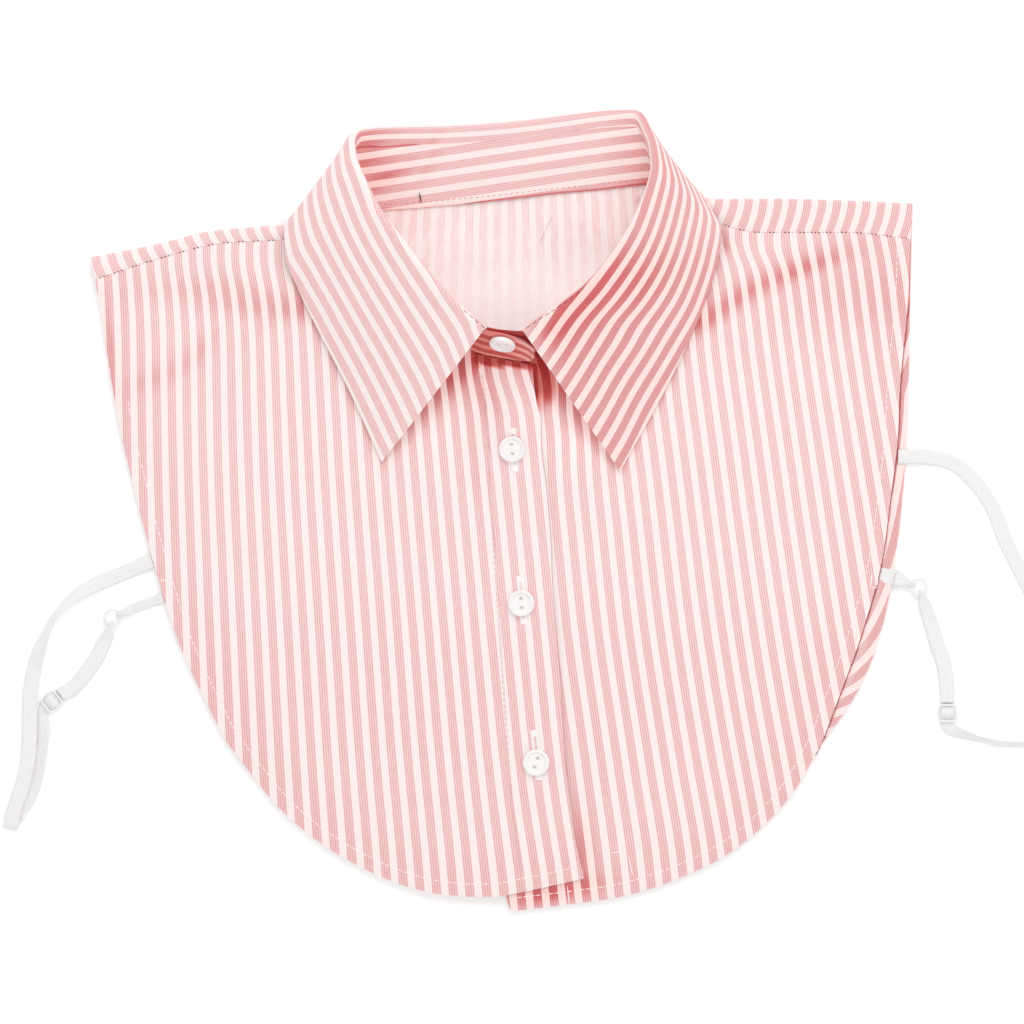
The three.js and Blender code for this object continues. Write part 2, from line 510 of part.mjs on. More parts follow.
// Buttons: a dished disc with a rim and two thread holes.
function toManifold(geometry) {
  const welded = mergeVertices(new THREE.BufferGeometry()
    .setAttribute('position', geometry.toNonIndexed().getAttribute('position')), 1e-4);
  return new wasm.Manifold(new wasm.Mesh({
    numProp: 3,
    vertProperties: new Float32Array(welded.getAttribute('position').array),
    triVerts: new Uint32Array(welded.getIndex().array),
  }));
}
function fromManifold(solid) {
  const mesh = solid.getMesh();
  const geometry = new THREE.BufferGeometry();
  geometry.setAttribute('position', new THREE.Float32BufferAttribute(mesh.vertProperties, 3));
  geometry.setIndex([...mesh.triVerts]);
  return geometry;
}
const { radius, thick, rim, hole, pitch } = BUTTON;
const buttonProfile = [
  [0, 0], [radius - 0.9, 0], [radius, 0.8], [radius - 0.3, thick - 0.3], [radius - rim, thick],
  [radius - rim - 0.8, thick - 0.8], [0, thick - 0.9], [0, 0],
].map(([x, y]) => new THREE.Vector2(x, y));
const buttonDisc = new THREE.LatheGeometry(buttonProfile, 22).rotateX(Math.PI / 2);
const threadHole = new THREE.CylinderGeometry(hole, hole, thick * 3, 8).rotateX(Math.PI / 2);
const buttonSolid = toManifold(buttonDisc)
  .subtract(toManifold(threadHole).translate(-pitch / 2, 0, 0))
  .subtract(toManifold(threadHole).translate(pitch / 2, 0, 0));
function addButton(name, seat, normal, turn) {
  const geometry = fromManifold(buttonSolid);
  geometry.rotateZ(radians(turn));
  geometry.applyQuaternion(new THREE.Quaternion().setFromUnitVectors(new THREE.Vector3(0, 0, 1), normal));
  geometry.translate(...seat.addScaledVector(normal, CLOTH / 2 + SEAM).toArray());
  add(name, geometry, PLASTIC_WHITE);
}
FRONT_BUTTONS.forEach(({ name, x, y, turn }) => {
  const reach = 4;
  const slopeX = (lappedHeight(x + reach, y) - lappedHeight(x - reach, y)) / (2 * reach);
  const slopeY = (lappedHeight(x, y + reach) - lappedHeight(x, y - reach)) / (2 * reach);
  const normal = new THREE.Vector3(-slopeX, -slopeY, 1).normalize();
  addButton(name, new THREE.Vector3(x, y, lappedHeight(x, y)), normal, turn);
});
const standFoot = pointOf(STAND_BUTTON.station, 'foot');
const standTop = pointOf(STAND_BUTTON.station, 'top');
const standWay = pointOf(COLLAR[0], 'foot').sub(pointOf(STAND_LEFT_END[2], 'foot'));
const standNormal = standTop.clone().sub(standFoot).cross(standWay).normalize();
addButton('stand_button', mixPoints(standFoot, standTop, STAND_BUTTON.up), standNormal, STAND_BUTTON.turn);

// Elastic: a flat ribbon swept along its stations.
const travelFlat = (a, b) => Math.hypot(b.x - a.x, b.y - a.y, b.base - a.base);
function ribbon(rows) {
  const stations = refine(rows, ELASTIC.split(' '), travelFlat, 4.5);
  const middles = stations.map((row) => {
    const tilt = radians(row.turn);
    const rise = STRAP.thick * Math.abs(Math.cos(tilt)) + row.width * Math.abs(Math.sin(tilt));
    return new THREE.Vector3(row.x, row.y, row.base + rise / 2);
  });
  const corners = stations.flatMap((row, i) => {
    const ahead = middles[Math.min(i + 1, middles.length - 1)].clone();
    const forward = ahead.sub(middles[Math.max(i - 1, 0)]).normalize();
    const tilt = radians(row.turn);
    const heading = radians(row.across);
    const side = new THREE.Vector3(
      Math.cos(heading) * Math.cos(tilt), Math.sin(heading) * Math.cos(tilt), Math.sin(tilt),
    );
    const face = forward.clone().cross(side).normalize().multiplyScalar(STRAP.thick / 2);
    side.multiplyScalar(row.width / 2);
    return [[1, 1], [-1, 1], [-1, -1], [1, -1]].map(([a, b]) => (
      middles[i].clone().addScaledVector(side, a).addScaledVector(face, b)
    ));
  });
  const last = corners.length - 4;
  const indices = [0, 2, 1, 0, 3, 2, last, last + 1, last + 2, last, last + 2, last + 3];
  for (let i = 0; i < last; i += 4) {
    for (let k = 0; k < 4; k += 1) {
      const next = (k + 1) % 4;
      indices.push(i + k, i + next, i + 4 + next, i + k, i + 4 + next, i + 4 + k);
    }
  }
  const geometry = new THREE.BufferGeometry().setFromPoints(corners);
  geometry.setIndex(indices);
  return geometry;
}

// Stations of the elastic where it goes round the ring's wire: in under it and back over it.
const RING_TURN = RING.height - STRAP.thick / 2;
function roundRing(fittings, way, across, width) {
  const outX = Math.cos(radians(way));
  const outY = Math.sin(radians(way));
  const wireX = fittings.ringX + RING.radius * outX;
  const wireY = fittings.ringY + RING.radius * outY;
  const at = (out, base, wide) => (
    { x: wireX + out * outX, y: wireY + out * outY, base, turn: 0, across, width: wide }
  );
  const turn = [0, 30, 60, 90, 120, 150, 180].map((angle) => at(
    -RING_TURN * Math.sin(radians(angle)), RING_TURN * (1 - Math.cos(radians(angle))), 2.0,
  ));
  const wide = width * 0.8;
  return [at(3.6, 0, wide), at(1.2, 0, 2.6), ...turn, at(1.2, 2 * RING_TURN, 2.6), at(3.6, 2.4, wide)];
}
const reversed = (rows, lift) => [...rows].reverse().map((row) => ({ ...row, base: row.base + lift }));

// Stations where it is threaded through the slider: under both end bars and over the middle bar.
const SLIDER_PITCH = (SLIDER.along - SLIDER.bar) / 2;
const SLIDER_WAVE = SLIDER.height - STRAP.thick / 2;
function throughSlider({ x, y, way }, across) {
  return [-4.8, -3.6, -3.0, -2.4, -1.8, -1.2, -0.6, 0, 0.6, 1.2, 1.8, 2.4, 3.0, 3.6, 4.8].map((s) => {
    const wave = Math.abs(s) > SLIDER_PITCH ? -1 : Math.cos(Math.PI * s / SLIDER_PITCH);
    return {
      x: x + s * Math.cos(radians(way)), y: y + s * Math.sin(radians(way)),
      base: SLIDER_WAVE * (1 + wave), turn: 0, across, width: 6.2,
    };
  });
}
function strap(leg, fittings, sliderAcross, doubled, ringAcross) {
  const end = { ...throughSlider(fittings, sliderAcross)[14], base: STRAP.thick + 0.45 };
  return ribbon([
    ...leg, ...throughSlider(fittings, sliderAcross), ...doubled,
    ...roundRing(fittings, fittings.strapWay, ringAcross, STRAP.width),
    ...reversed(doubled, STRAP.thick + 0.45), end,
  ]);
}
add('left_strap', strap(LEFT_LEG, LEFT_FITTINGS, -52, LEFT_DOUBLED, -15), ELASTIC_WHITE);
add('right_strap', strap(RIGHT_LEG, RIGHT_FITTINGS, -360, RIGHT_DOUBLED, -341), ELASTIC_WHITE);
add('left_tab', ribbon([
  ...LEFT_TAB, ...roundRing(LEFT_FITTINGS, LEFT_FITTINGS.tabWay, -65, 4.4),
  ...reversed(LEFT_TAB.slice(2), STRAP.thick + 0.45),
]), ELASTIC_WHITE);
add('right_tab', ribbon([
  ...RIGHT_TAB, ...roundRing(RIGHT_FITTINGS, RIGHT_FITTINGS.tabWay, 68, 6.4),
  ...reversed(RIGHT_TAB.slice(1), STRAP.thick + 0.45),
]), ELASTIC_WHITE);

// Rings, and sliders: a flat frame with a bar across its middle.
const block = (...size) => wasm.Manifold.cube(size, true);
const sliderGap = SLIDER.along / 2 - SLIDER.bar * 1.5;
const sliderHole = (side) => (
  block(sliderGap, SLIDER.across - 2 * SLIDER.side, SLIDER.thick * 3)
    .translate(side * (SLIDER.bar + sliderGap) / 2, 0, 0)
);
const sliderSolid = block(SLIDER.along, SLIDER.across, SLIDER.thick)
  .subtract(sliderHole(-1))
  .subtract(sliderHole(1));
function addFittings(side, { ringX, ringY, x, y, way }) {
  const ring = new THREE.TorusGeometry(RING.radius, RING.wire, 6, 18);
  add(`${side}_ring`, ring.translate(ringX, ringY, RING.height), PLASTIC_WHITE);
  const slider = fromManifold(sliderSolid).rotateZ(radians(way)).translate(x, y, SLIDER.height);
  add(`${side}_slider`, slider, PLASTIC_WHITE);
}
addFittings('left', LEFT_FITTINGS);
addFittings('right', RIGHT_FITTINGS);

export default dickey;
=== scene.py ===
# %% [markdown]
# # A striped dickey
# A dickey is a false shirt front: a collar, two buttoned fronts and a short back, worn under a
# jumper. This one lies flat on a table and is seen from straight above. We load the solid model as
# a fixed frame, then make every cloth, button and strap again as a fine surface in the same place,
# so that each piece can be looked at, repainted or moved on its own.

# %% The frame
import math

import bpy
import numpy as np
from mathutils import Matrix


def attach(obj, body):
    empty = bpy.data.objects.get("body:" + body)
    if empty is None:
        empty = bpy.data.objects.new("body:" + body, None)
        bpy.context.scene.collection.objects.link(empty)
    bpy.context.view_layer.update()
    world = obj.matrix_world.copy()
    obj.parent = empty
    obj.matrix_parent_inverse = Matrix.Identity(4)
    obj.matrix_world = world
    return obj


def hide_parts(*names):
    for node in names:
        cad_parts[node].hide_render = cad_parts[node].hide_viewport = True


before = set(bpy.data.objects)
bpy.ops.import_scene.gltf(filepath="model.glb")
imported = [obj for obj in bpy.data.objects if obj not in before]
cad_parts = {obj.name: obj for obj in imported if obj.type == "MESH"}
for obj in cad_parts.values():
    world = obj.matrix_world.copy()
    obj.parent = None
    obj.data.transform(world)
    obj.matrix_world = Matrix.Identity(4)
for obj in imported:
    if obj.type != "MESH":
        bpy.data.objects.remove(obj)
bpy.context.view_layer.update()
MM = 0.001  # everything below is worked out in millimetres and written to Blender in metres
print("solids in the frame:", len(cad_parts))

# %% [markdown]
# ## Camera, table and light
# The photograph is a product shot: white table, soft light, no perspective to speak of. A long lens
# three metres up gives that, and its field is set so that a pixel is 0.45 mm on the table. Soft
# light comes from a white sky. A broad lamp beyond the collar leans the shadows towards us, and a
# weaker one on our side fills them.

# %% Camera
PIXEL = 0.45  # millimetres on the table
PICTURE = 1024
MIDDLE = (-9.0, -0.45)  # what the camera looks down on
CAMERA_HEIGHT = 3000.0
SENSOR = 36.0

eye = bpy.data.cameras.new("overhead_camera")
eye.sensor_width = SENSOR
eye.lens = SENSOR * CAMERA_HEIGHT / (PIXEL * PICTURE)
eye.clip_end = 20
camera = bpy.data.objects.new("overhead_camera", eye)
camera.location = (MIDDLE[0] * MM, MIDDLE[1] * MM, CAMERA_HEIGHT * MM)
bpy.context.collection.objects.link(camera)
bpy.context.scene.camera = camera
print("lens", round(eye.lens, 1), "mm")

# %% Soft light
bpy.context.scene.view_settings.view_transform = "Standard"
sky = bpy.data.worlds.new("white_sky")
sky.use_nodes = True
sky.node_tree.nodes["Background"].inputs["Color"].default_value = (1, 1, 1, 1)
sky.node_tree.nodes["Background"].inputs["Strength"].default_value = 0.8
bpy.context.scene.world = sky


def lamp(name, place, size, watts):
    """A square lamp at a place in metres that faces the middle of the table."""
    light = bpy.data.lights.new(name, "AREA")
    light.size = size
    light.energy = watts
    held = bpy.data.objects.new(name, light)
    held.location = place
    bpy.context.collection.objects.link(held)
    across = math.hypot(place[0], place[1])
    held.rotation_euler = (math.atan2(across, place[2]), 0, math.atan2(place[0], -place[1]))
    return held


lamp("key_lamp", place=(0.2, 1.0, 1.3), size=0.9, watts=6.4)
lamp("fill_lamp", place=(0.4, -0.9, 1.6), size=1.6, watts=2.0)

# %% [markdown]
# ## Lines and grids
# Every cloth here is a grid of points. Its edges are smooth lines through a few measured places, and
# the grid is filled in between them. These helpers work on whole arrays at once.

# %% Along a line
def ease(t):
    """0 below 0, 1 above 1, and 3t^2 - 2t^3 between."""
    t = np.clip(t, 0.0, 1.0)
    return t * t * (3 - 2 * t)


def lengths(line):
    """Distance travelled along a line, at each of its points."""
    steps = np.linalg.norm(np.diff(line, axis=0), axis=1)
    return np.concatenate([[0.0], np.cumsum(steps)])


def walk(line, distances):
    """Points at the given distances along a line."""
    far = lengths(line)
    return np.stack([np.interp(distances, far, column) for column in np.asarray(line).T], 1)


print("half way up an eased step:", ease(0.5))

# %% Smooth lines
def smooth_line(rows, count):
    """Centripetal Catmull-Rom through the rows, cut in count pieces of equal length."""
    p = np.asarray(rows, float)
    p = np.vstack([2 * p[0] - p[1], p, 2 * p[-1] - p[-2]])
    gap = np.sqrt(np.linalg.norm(np.diff(p, axis=0), axis=1))[:, None]
    a, b, c, d = p[:-3], p[1:-2], p[2:-1], p[3:]
    before, here, after = gap[:-2], gap[1:-1], gap[2:]
    leave = here * ((b - a) / before - (c - a) / (before + here) + (c - b) / here)
    arrive = here * ((c - b) / here - (d - b) / (here + after) + (d - c) / after)
    t = np.linspace(0, 1, 40, endpoint=False)[:, None, None]
    curve = b + leave * t + (3 * c - 3 * b - 2 * leave - arrive) * t ** 2
    curve = curve + (2 * b - 2 * c + leave + arrive) * t ** 3
    fine = np.vstack([curve.transpose(1, 0, 2).reshape(-1, p.shape[1]), c[-1:]])
    return walk(fine, np.linspace(0, lengths(fine)[-1], count + 1))


print("a smooth line of 3 rows:", np.round(smooth_line([(0, 0), (1, 1), (2, 0)], 4)[:, 1], 2))

# %% Rows between the rows of a table
def monotone(ts, rows):
    """Cubic through rows at ts that never swings past them; gives a function of t. Its slope at a
    row is the harmonic mean of the slopes beside it, or 0 where they turn."""
    ts, rows = np.asarray(ts, float), np.asarray(rows, float)
    secants = np.diff(rows, axis=0) / np.diff(ts)[:, None]
    before, after = secants[:-1], secants[1:]
    turning = before * after <= 0
    inner = np.where(turning, 0, 2 * before * after / np.where(turning, 1, before + after))
    slopes = np.concatenate([secants[:1], inner, secants[-1:]])

    def at(t):
        """The rows at t."""
        i = np.clip(np.searchsorted(ts, t) - 1, 0, len(ts) - 2)
        width = (ts[i + 1] - ts[i])[:, None]
        s = (np.asarray(t) - ts[i])[:, None] / width
        cubic = s * s * (3 - 2 * s)
        bend = width * (slopes[i] * s * (1 - s) ** 2 - slopes[i + 1] * s * s * (1 - s))
        return rows[i] * (1 - cubic) + rows[i + 1] * cubic + bend
    return at


def refine(rows, spans, step):
    """Rows between the rows of a table, each stretch cut in equal pieces about step long."""
    ts = np.concatenate([[0.0], np.cumsum(np.maximum(spans, 1e-6))])
    pieces = np.maximum(1, np.round(np.diff(ts) / step)).astype(int)
    cuts = [np.linspace(a, b, n, endpoint=False) for a, b, n in zip(ts, ts[1:], pieces)]
    return monotone(ts, rows)(np.concatenate([*cuts, ts[-1:]]))


print("two rows made finer:", refine([(0, 0), (4, 2)], np.array([4.0]), 1.0)[:, 1])

# %% Patches
def patch(top, bottom, left, right):
    """Grid filled in between four edges: each pair of edges blends across, less their corners."""
    u = np.linspace(0, 1, len(top))[None, :, None]
    v = np.linspace(0, 1, len(left))[:, None, None]
    upper = top[0] * (1 - u) + top[-1] * u
    lower = bottom[0] * (1 - u) + bottom[-1] * u
    sides = left[:, None] * (1 - u) + right[:, None] * u
    return top[None] * (1 - v) + bottom[None] * v + sides - upper * (1 - v) - lower * v


def nearest(points, line):
    """Distance of each point to the nearest point of a line, and which point that is."""
    apart = np.linalg.norm(points[:, None, :] - line[None, :, :], axis=2)
    return apart.min(axis=1), apart.argmin(axis=1)


print("from (3, 4) to a line through (0, 0):", nearest(np.array([(3, 4)]), np.zeros((1, 2)))[0])

# %% [markdown]
# ## Meshes
# A cloth is thin, but it isn't a plane with no back: it has two faces and an edge. We give each grid
# a wall along its own normals and close the rim, which keeps hems and collar edges solid from every
# side. The threads' own coordinates are stored on the points, for the stripes to follow.


def unit(vectors):
    """Vectors of length 1."""
    return vectors / np.maximum(np.linalg.norm(vectors, axis=-1, keepdims=True), 1e-12)


def grid_faces(rows, columns, around=False):
    """Quads of a grid of points; around joins the last column to the first."""
    ids = np.arange(rows * columns).reshape(rows, columns)
    if around:
        ids = np.hstack([ids, ids[:, :1]])
    return np.stack([ids[:-1, :-1], ids[1:, :-1], ids[1:, 1:], ids[:-1, 1:]], -1).reshape(-1, 4)


def put(name, points, faces, finish, stands_for=(), slot=None, **fields):
    """Make the object: points in mm, faces as lists, fields as named values on the points."""
    mesh = bpy.data.meshes.new(name)
    mesh.from_pydata((np.asarray(points) * MM).tolist(), [], faces)
    for key, values in fields.items():
        layer = mesh.attributes.new(key, "FLOAT_VECTOR", "POINT")
        layer.data.foreach_set("vector", np.asarray(values, np.float32).ravel())
    mesh.validate()
    mesh.shade_smooth()
    mesh.materials.append(finish)
    thing = bpy.data.objects.new(name, mesh)
    bpy.context.collection.objects.link(thing)
    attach(thing, "root")
    if stands_for:
        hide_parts(*stands_for)
    print(f"{name}: {len(mesh.vertices)} points, {len(mesh.polygons)} faces")
    return thing


# %% Cloth with a wall
def cloth(name, points, faces, thickness, finish, threads, looks, back_looks, node):
    """Closed cloth: each point moves half the thickness both ways along its normal, and the rim
    between the two faces is closed. The rim's edges are sharp, so the faces stay evenly lit."""
    used, faces = np.unique(faces, return_inverse=True)
    faces = faces.reshape(-1, 4)
    points, threads = points[used], threads[used]
    thickness, looks, back_looks = thickness[used], looks[used], back_looks[used]
    corners = points[faces]
    facing = np.cross(corners[:, 2] - corners[:, 0], corners[:, 3] - corners[:, 1])
    normals = np.zeros_like(points)
    for corner in range(4):
        np.add.at(normals, faces[:, corner], facing)
    offset = unit(normals) * thickness[:, None] / 2
    count = len(points)
    edges = np.stack([faces, np.roll(faces, -1, axis=1)], -1).reshape(-1, 2)
    met = np.isin(edges[:, 0] * count + edges[:, 1], edges[:, 1] * count + edges[:, 0])
    a, b = edges[~met].T
    rim = np.stack([b, a, a + count, b + count], 1)
    shell = np.vstack([faces, faces[:, ::-1] + count, rim])
    thing = put(
        name, np.vstack([points + offset, points - offset]), shell.tolist(), finish,
        stands_for=(node,) if node else (), slot="striped_cotton",
        threads=np.vstack([threads, threads]), looks=np.vstack([looks, back_looks]),
    )
    ends = np.empty(2 * len(thing.data.edges), np.int64)
    thing.data.edges.foreach_get("vertices", ends)
    ends = ends.reshape(-1, 2)
    on_rim = np.isin(ends % count, np.union1d(a, b)).all(axis=1)
    creased = thing.data.attributes.new("sharp_edge", "BOOLEAN", "EDGE")
    creased.data.foreach_set("value", on_rim & (ends // count == ends[:, :1] // count).all(axis=1))
    return thing


def area_of(grid):
    """Area in square metres of a grid of points in mm."""
    across = np.cross(grid[1:, 1:] - grid[:-1, :-1], grid[1:, :-1] - grid[:-1, 1:])
    return float(np.linalg.norm(across, axis=-1).sum() / 2 * MM * MM)


# %% [markdown]
# ## How the cloth lies
# The back lies on the table and climbs over the part of the collar that is under it. The fronts lie
# on the back, and the collar holds them up round the neck. Low ripples, the same in every layer, keep
# the layers apart and stop the cloth from looking ironed to a board. Soft ridges are the few folds
# that the collar and the shoulders press into the fronts.

# %% Thicknesses
CLOTH = 0.7  # thickness of one layer
LAYER = 1.6  # from the middle of one layer to the middle of the next
BACK_MIDDLE = 0.5
FRONT_MIDDLE = BACK_MIDDLE + LAYER
COLLAR_LIFT = 2.0  # how much the leaf under it lifts the back
SHOULDER_ROLL = 1.7  # radius of the fold at the shoulders
SHOULDER_RISE = 1.5
COLLAR_ROLL = 1.7  # radius of the fold of the collar
NECK_REACH = 65  # how far from the neck the fronts are still held up
RIPPLE_LIFT = 0.22
SEAM = 0.02  # gap between two pieces that are sewn together
HEM = 5.8  # width of the turned hems
print("middle of the fronts above the table:", FRONT_MIDDLE, "mm")

# %% Neck and shoulders
# Neck edge of the fronts: x y z.
NECK_EDGE = np.array([
    (-82.4, 127.15, 6.2), (-76.2, 123.6, 6.6), (-63.2, 109.4, 7.3), (-47.0, 88.4, 7.8),
    (-23.6, 69.9, 8.0), (0.6, 70.6, 8.0), (32.1, 93.9, 7.8), (48.7, 117.9, 7.3),
    (55.9, 132.9, 6.6), (59.2, 138.05, 6.2),
])
NECK_FRONT = 4  # last row on the left front

# Shoulders: the outer edge of the fold, and the seam to the front panel.
LEFT_SHOULDER = np.array([
    (-198.2, 114.3, -196.2, 104.0), (-170.6, 119.7, -168.5, 113.2), (-140.9, 126.5, -138.6, 120.4),
    (-112.0, 128.6, -110.0, 122.1), (-84.8, 131.0, -82.4, 127.5),
])
RIGHT_SHOULDER = np.array([
    (60.8, 142.3, 59.2, 138.4), (77.9, 140.3, 74.0, 133.0), (107.1, 140.6, 103.0, 125.2),
    (140.0, 139.8, 140.0, 125.2), (171.0, 138.4, 170.1, 122.4),
])

neck_line = refine(NECK_EDGE, np.linalg.norm(np.diff(NECK_EDGE[:, :2], axis=0), axis=1), 1.0)
shoulder_lines = [
    refine(rows, np.diff(rows[:, 2]), 1.5)[:, 2:] for rows in (LEFT_SHOULDER, RIGHT_SHOULDER)
]
print("neck edge:", round(lengths(neck_line)[-1]), "mm round")

# %% Ridges and ripples
# Soft ridges: x y heading length width height.
RIDGES = np.array([
    (-128, 106, -35, 28, 9, 1.3), (-168, 62, 29, 22, 8, 1.0), (114, 99, 32, 32, 10, 1.7),
    (150, 78, 62, 26, 8, 1.0), (-96, -40, 80, 60, 12, 0.7), (92, -30, 97, 60, 12, 0.7),
    (-112, 100, 8, 14, 5, 0.8), (-176, 52, 32, 16, 3, 0.5), (98, 74, -32, 30, 6, 0.6),
    (-24, 50, 60, 16, 4, 0.7), (60, -90, 95, 40, 7, 0.4), (-60, -100, 85, 40, 7, 0.4),
    (136, 8, 98, 40, 6, 0.4), (-140, 0, 76, 40, 6, 0.4),
])

# Ripples: their heading, pace, start and height, drawn by chance from a fixed seed.
chance = np.random.default_rng(7)
RIPPLES = np.stack([
    chance.uniform(0, math.pi, 26), 2 * math.pi / chance.uniform(24, 85, 26),
    chance.uniform(0, 2 * math.pi, 26), chance.uniform(0.03, 0.085, 26),
], 1)


def ridge(x, y, rows, right=1.0):
    """Sum of long soft bumps, each a Gaussian along and across its heading; right narrows the side
    to the right of the heading."""
    total = np.zeros_like(x)
    for px, py, heading, length, width, height in rows:
        turn = math.radians(heading)
        along = (x - px) * math.cos(turn) + (y - py) * math.sin(turn)
        over = (y - py) * math.cos(turn) - (x - px) * math.sin(turn)
        over = over / np.where(over < 0, width * right, width)
        total += height * np.exp(-((along / length) ** 2) - over ** 2)
    return total


def ripple(x, y):
    """Sum of long waves in every direction, lifted so that it stays above the table."""
    turn, pace, start, height = RIPPLES.T
    wave = (x[..., None] * np.cos(turn) + y[..., None] * np.sin(turn)) * pace + start
    return np.maximum(0, RIPPLE_LIFT + (np.sin(wave) * height).sum(-1))


print("ripple at the middle:", round(float(ripple(np.array(0.0), np.array(0.0))), 2), "mm")

# %% Heights
COLLAR_X = -14.4  # middle of the collar
LEAF_BACK_Y, LEAF_BACK_LEAN = 124.9, 0.086  # the leaf's free edge at the back, and how it leans
LEAF_LEFT, LEAF_RIGHT = -112, 82  # where the leaf under the back ends
LEAF_CLIMB = 22  # how far it takes the back to climb over the leaf
SHOULDER_REACH = 25  # how far from a shoulder the fronts are still held up
LAP_FROM, LAP_CLIMB = -30, 45  # where the left front starts to come down, and how far that takes


def leaf_edge(x):
    """The y of the leaf's free edge at the back: a straight line, a little higher to the right."""
    return LEAF_BACK_Y + LEAF_BACK_LEAN * (x - COLLAR_X)


def back_height(x, y):
    """The table, plus an eased climb over the leaf, plus the ripple."""
    over_leaf = ease((y - leaf_edge(x)) / LEAF_CLIMB + 1)
    between = (1 - ease((LEAF_LEFT - x) / LEAF_CLIMB)) * (1 - ease((x - LEAF_RIGHT) / LEAF_CLIMB))
    return BACK_MIDDLE + COLLAR_LIFT * over_leaf * between + ripple(x, y)


def front_height(x, y):
    """On the back, raised by the neck and the shoulders, plus ridges and ripple."""
    flat = np.stack([x, y], -1).reshape(-1, 2)
    apart, which = nearest(flat, neck_line[:, :2])
    neck = (neck_line[which, 2] - FRONT_MIDDLE) * (1 - np.clip(apart / NECK_REACH, 0, 1)) ** 2
    left = nearest(flat, shoulder_lines[0])[0]
    right = nearest(flat, shoulder_lines[1])[0]
    beside = np.where(flat[:, 0] < 0, left, right)
    shoulder = SHOULDER_RISE * (1 - np.clip(beside / SHOULDER_REACH, 0, 1)) ** 2
    held = np.hypot(neck, shoulder).reshape(x.shape)
    return FRONT_MIDDLE + held + ridge(x, y, RIDGES) + ripple(x, y)


def lapped_height(x, y):
    """The left front laps over the right one, so it is a layer higher near the middle."""
    return front_height(x, y) + LAYER * (1 - ease((LAP_FROM - x) / LAP_CLIMB))


print("front height by the neck and far from it:",
      np.round(front_height(np.array([-26.0, -100.0]), np.array([68.0, -100.0])), 2))

# %% [markdown]
# ## Striped cotton
# The cloth is yarn-dyed: a pink band and a white band, seven millimetres for the pair, and the pink
# band is itself four or five darker yarns on a paler ground. A picture of stripes would slide and
# blur, so the stripes are arithmetic on the cloth's own coordinates: the first counts stripes across
# the cloth, and the second runs along them. The third says how strongly the white bands glow with a
# painted light beside the collar. Three more numbers, the looks, hold how much we see the wrong side,
# how deep a painted shade lies on the pink bands, and how deep a painted shade lies on the whole,
# reddened as light off other pink cloth would redden it. Where the cloth is shaded it also glows a
# little: painted light that keeps those places rosy, as light through thin cotton would.

# %% Shader arithmetic
class Value:
    """One output of a node, so that maths on it reads as arithmetic."""

    def __init__(self, finish, socket):
        self.finish, self.socket = finish, socket

    def math(self, operation, *others):
        """One Math node on this value and the others."""
        inputs = dict(enumerate((self, *others)))
        return self.finish.node("ShaderNodeMath", {"operation": operation}, inputs)

    def __add__(self, other):
        return self.math("ADD", other)

    __radd__ = __add__

    def __sub__(self, other):
        return self.math("SUBTRACT", other)

    def __rsub__(self, other):
        return self.finish.node("ShaderNodeMath", {"operation": "SUBTRACT"}, {0: other, 1: self})

    def __mul__(self, other):
        return self.math("MULTIPLY", other)

    __rmul__ = __mul__


# %% Making a finish
class Finish:
    """A material and the nodes that make it."""

    def __init__(self, name):
        self.material = bpy.data.materials.new(name)
        self.material.use_nodes = True
        self.material.node_tree.nodes.clear()

    def node(self, kind, settings=(), inputs=(), output=0):
        """Add a node: its settings first, then the values or links of its sockets."""
        tree = self.material.node_tree
        new = tree.nodes.new(kind)
        for key, value in dict(settings).items():
            setattr(new, key, value)
        for key, value in dict(inputs).items():
            if isinstance(value, Value):
                tree.links.new(value.socket, new.inputs[key])
            else:
                new.inputs[key].default_value = value
        return Value(self, new.outputs[output]) if new.outputs else None

    def field(self, name):
        """The three numbers that are stored on the points under a name."""
        vector = self.node("ShaderNodeAttribute", {"attribute_name": name}, output="Vector")
        return [self.node("ShaderNodeSeparateXYZ", inputs={0: vector}, output=i) for i in range(3)]

    def blend(self, share, first, second, way="MIX"):
        """Mix two colours by a share."""
        settings = {"data_type": "RGBA", "blend_type": way}
        return self.node("ShaderNodeMix", settings, {0: share, 6: first, 7: second}, 2)

    def step(self, value, low, high, start=0.0, end=1.0):
        """Smooth step of a value between low and high."""
        settings = {"interpolation_type": "SMOOTHSTEP"}
        inputs = {"Value": value, 1: low, 2: high, 3: start, 4: end}
        return self.node("ShaderNodeMapRange", settings, inputs)

    def noise(self, place, scale, detail=2.0, roughness=0.5):
        """Grey noise at a place."""
        inputs = {"Vector": place, "Scale": scale, "Detail": detail, "Roughness": roughness}
        return self.node("ShaderNodeTexNoise", inputs=inputs)

    def surface(self, **inputs):
        """Close the material with one Principled shader."""
        names = {key.replace("_", " "): value for key, value in inputs.items()}
        shader = self.node("ShaderNodeBsdfPrincipled", inputs=names)
        self.node("ShaderNodeOutputMaterial", inputs={"Surface": shader})
        return self.material


# %% Colours
def srgb(red, green, blue):
    """A colour of 0 to 255 as light: each part to the power 2.4, with a straight start, as screens
    do."""
    parts = np.array([red, green, blue]) / 255
    light = np.where(parts <= 0.04045, parts / 12.92, ((parts + 0.055) / 1.055) ** 2.4)
    return (*(float(part) for part in light), 1.0)


print("mid grey as light:", round(srgb(128, 128, 128)[0], 3))

# %% Colours in painted shade
def deepened(finish, colour, shade, first, second):
    """A colour with painted pink shade: times the first tint at shade 1, and times the second at shade
    2.
    """
    once = finish.blend(shade, colour, finish.blend(1.0, colour, first, "MULTIPLY"))
    return finish.blend(shade - 1, once, finish.blend(1.0, colour, second, "MULTIPLY"))


# %% The striped cotton
YARN = 0.15  # spacing of the darker yarns, in stripes
WEAVE = 20  # threads of the weave to a stripe's width, both ways


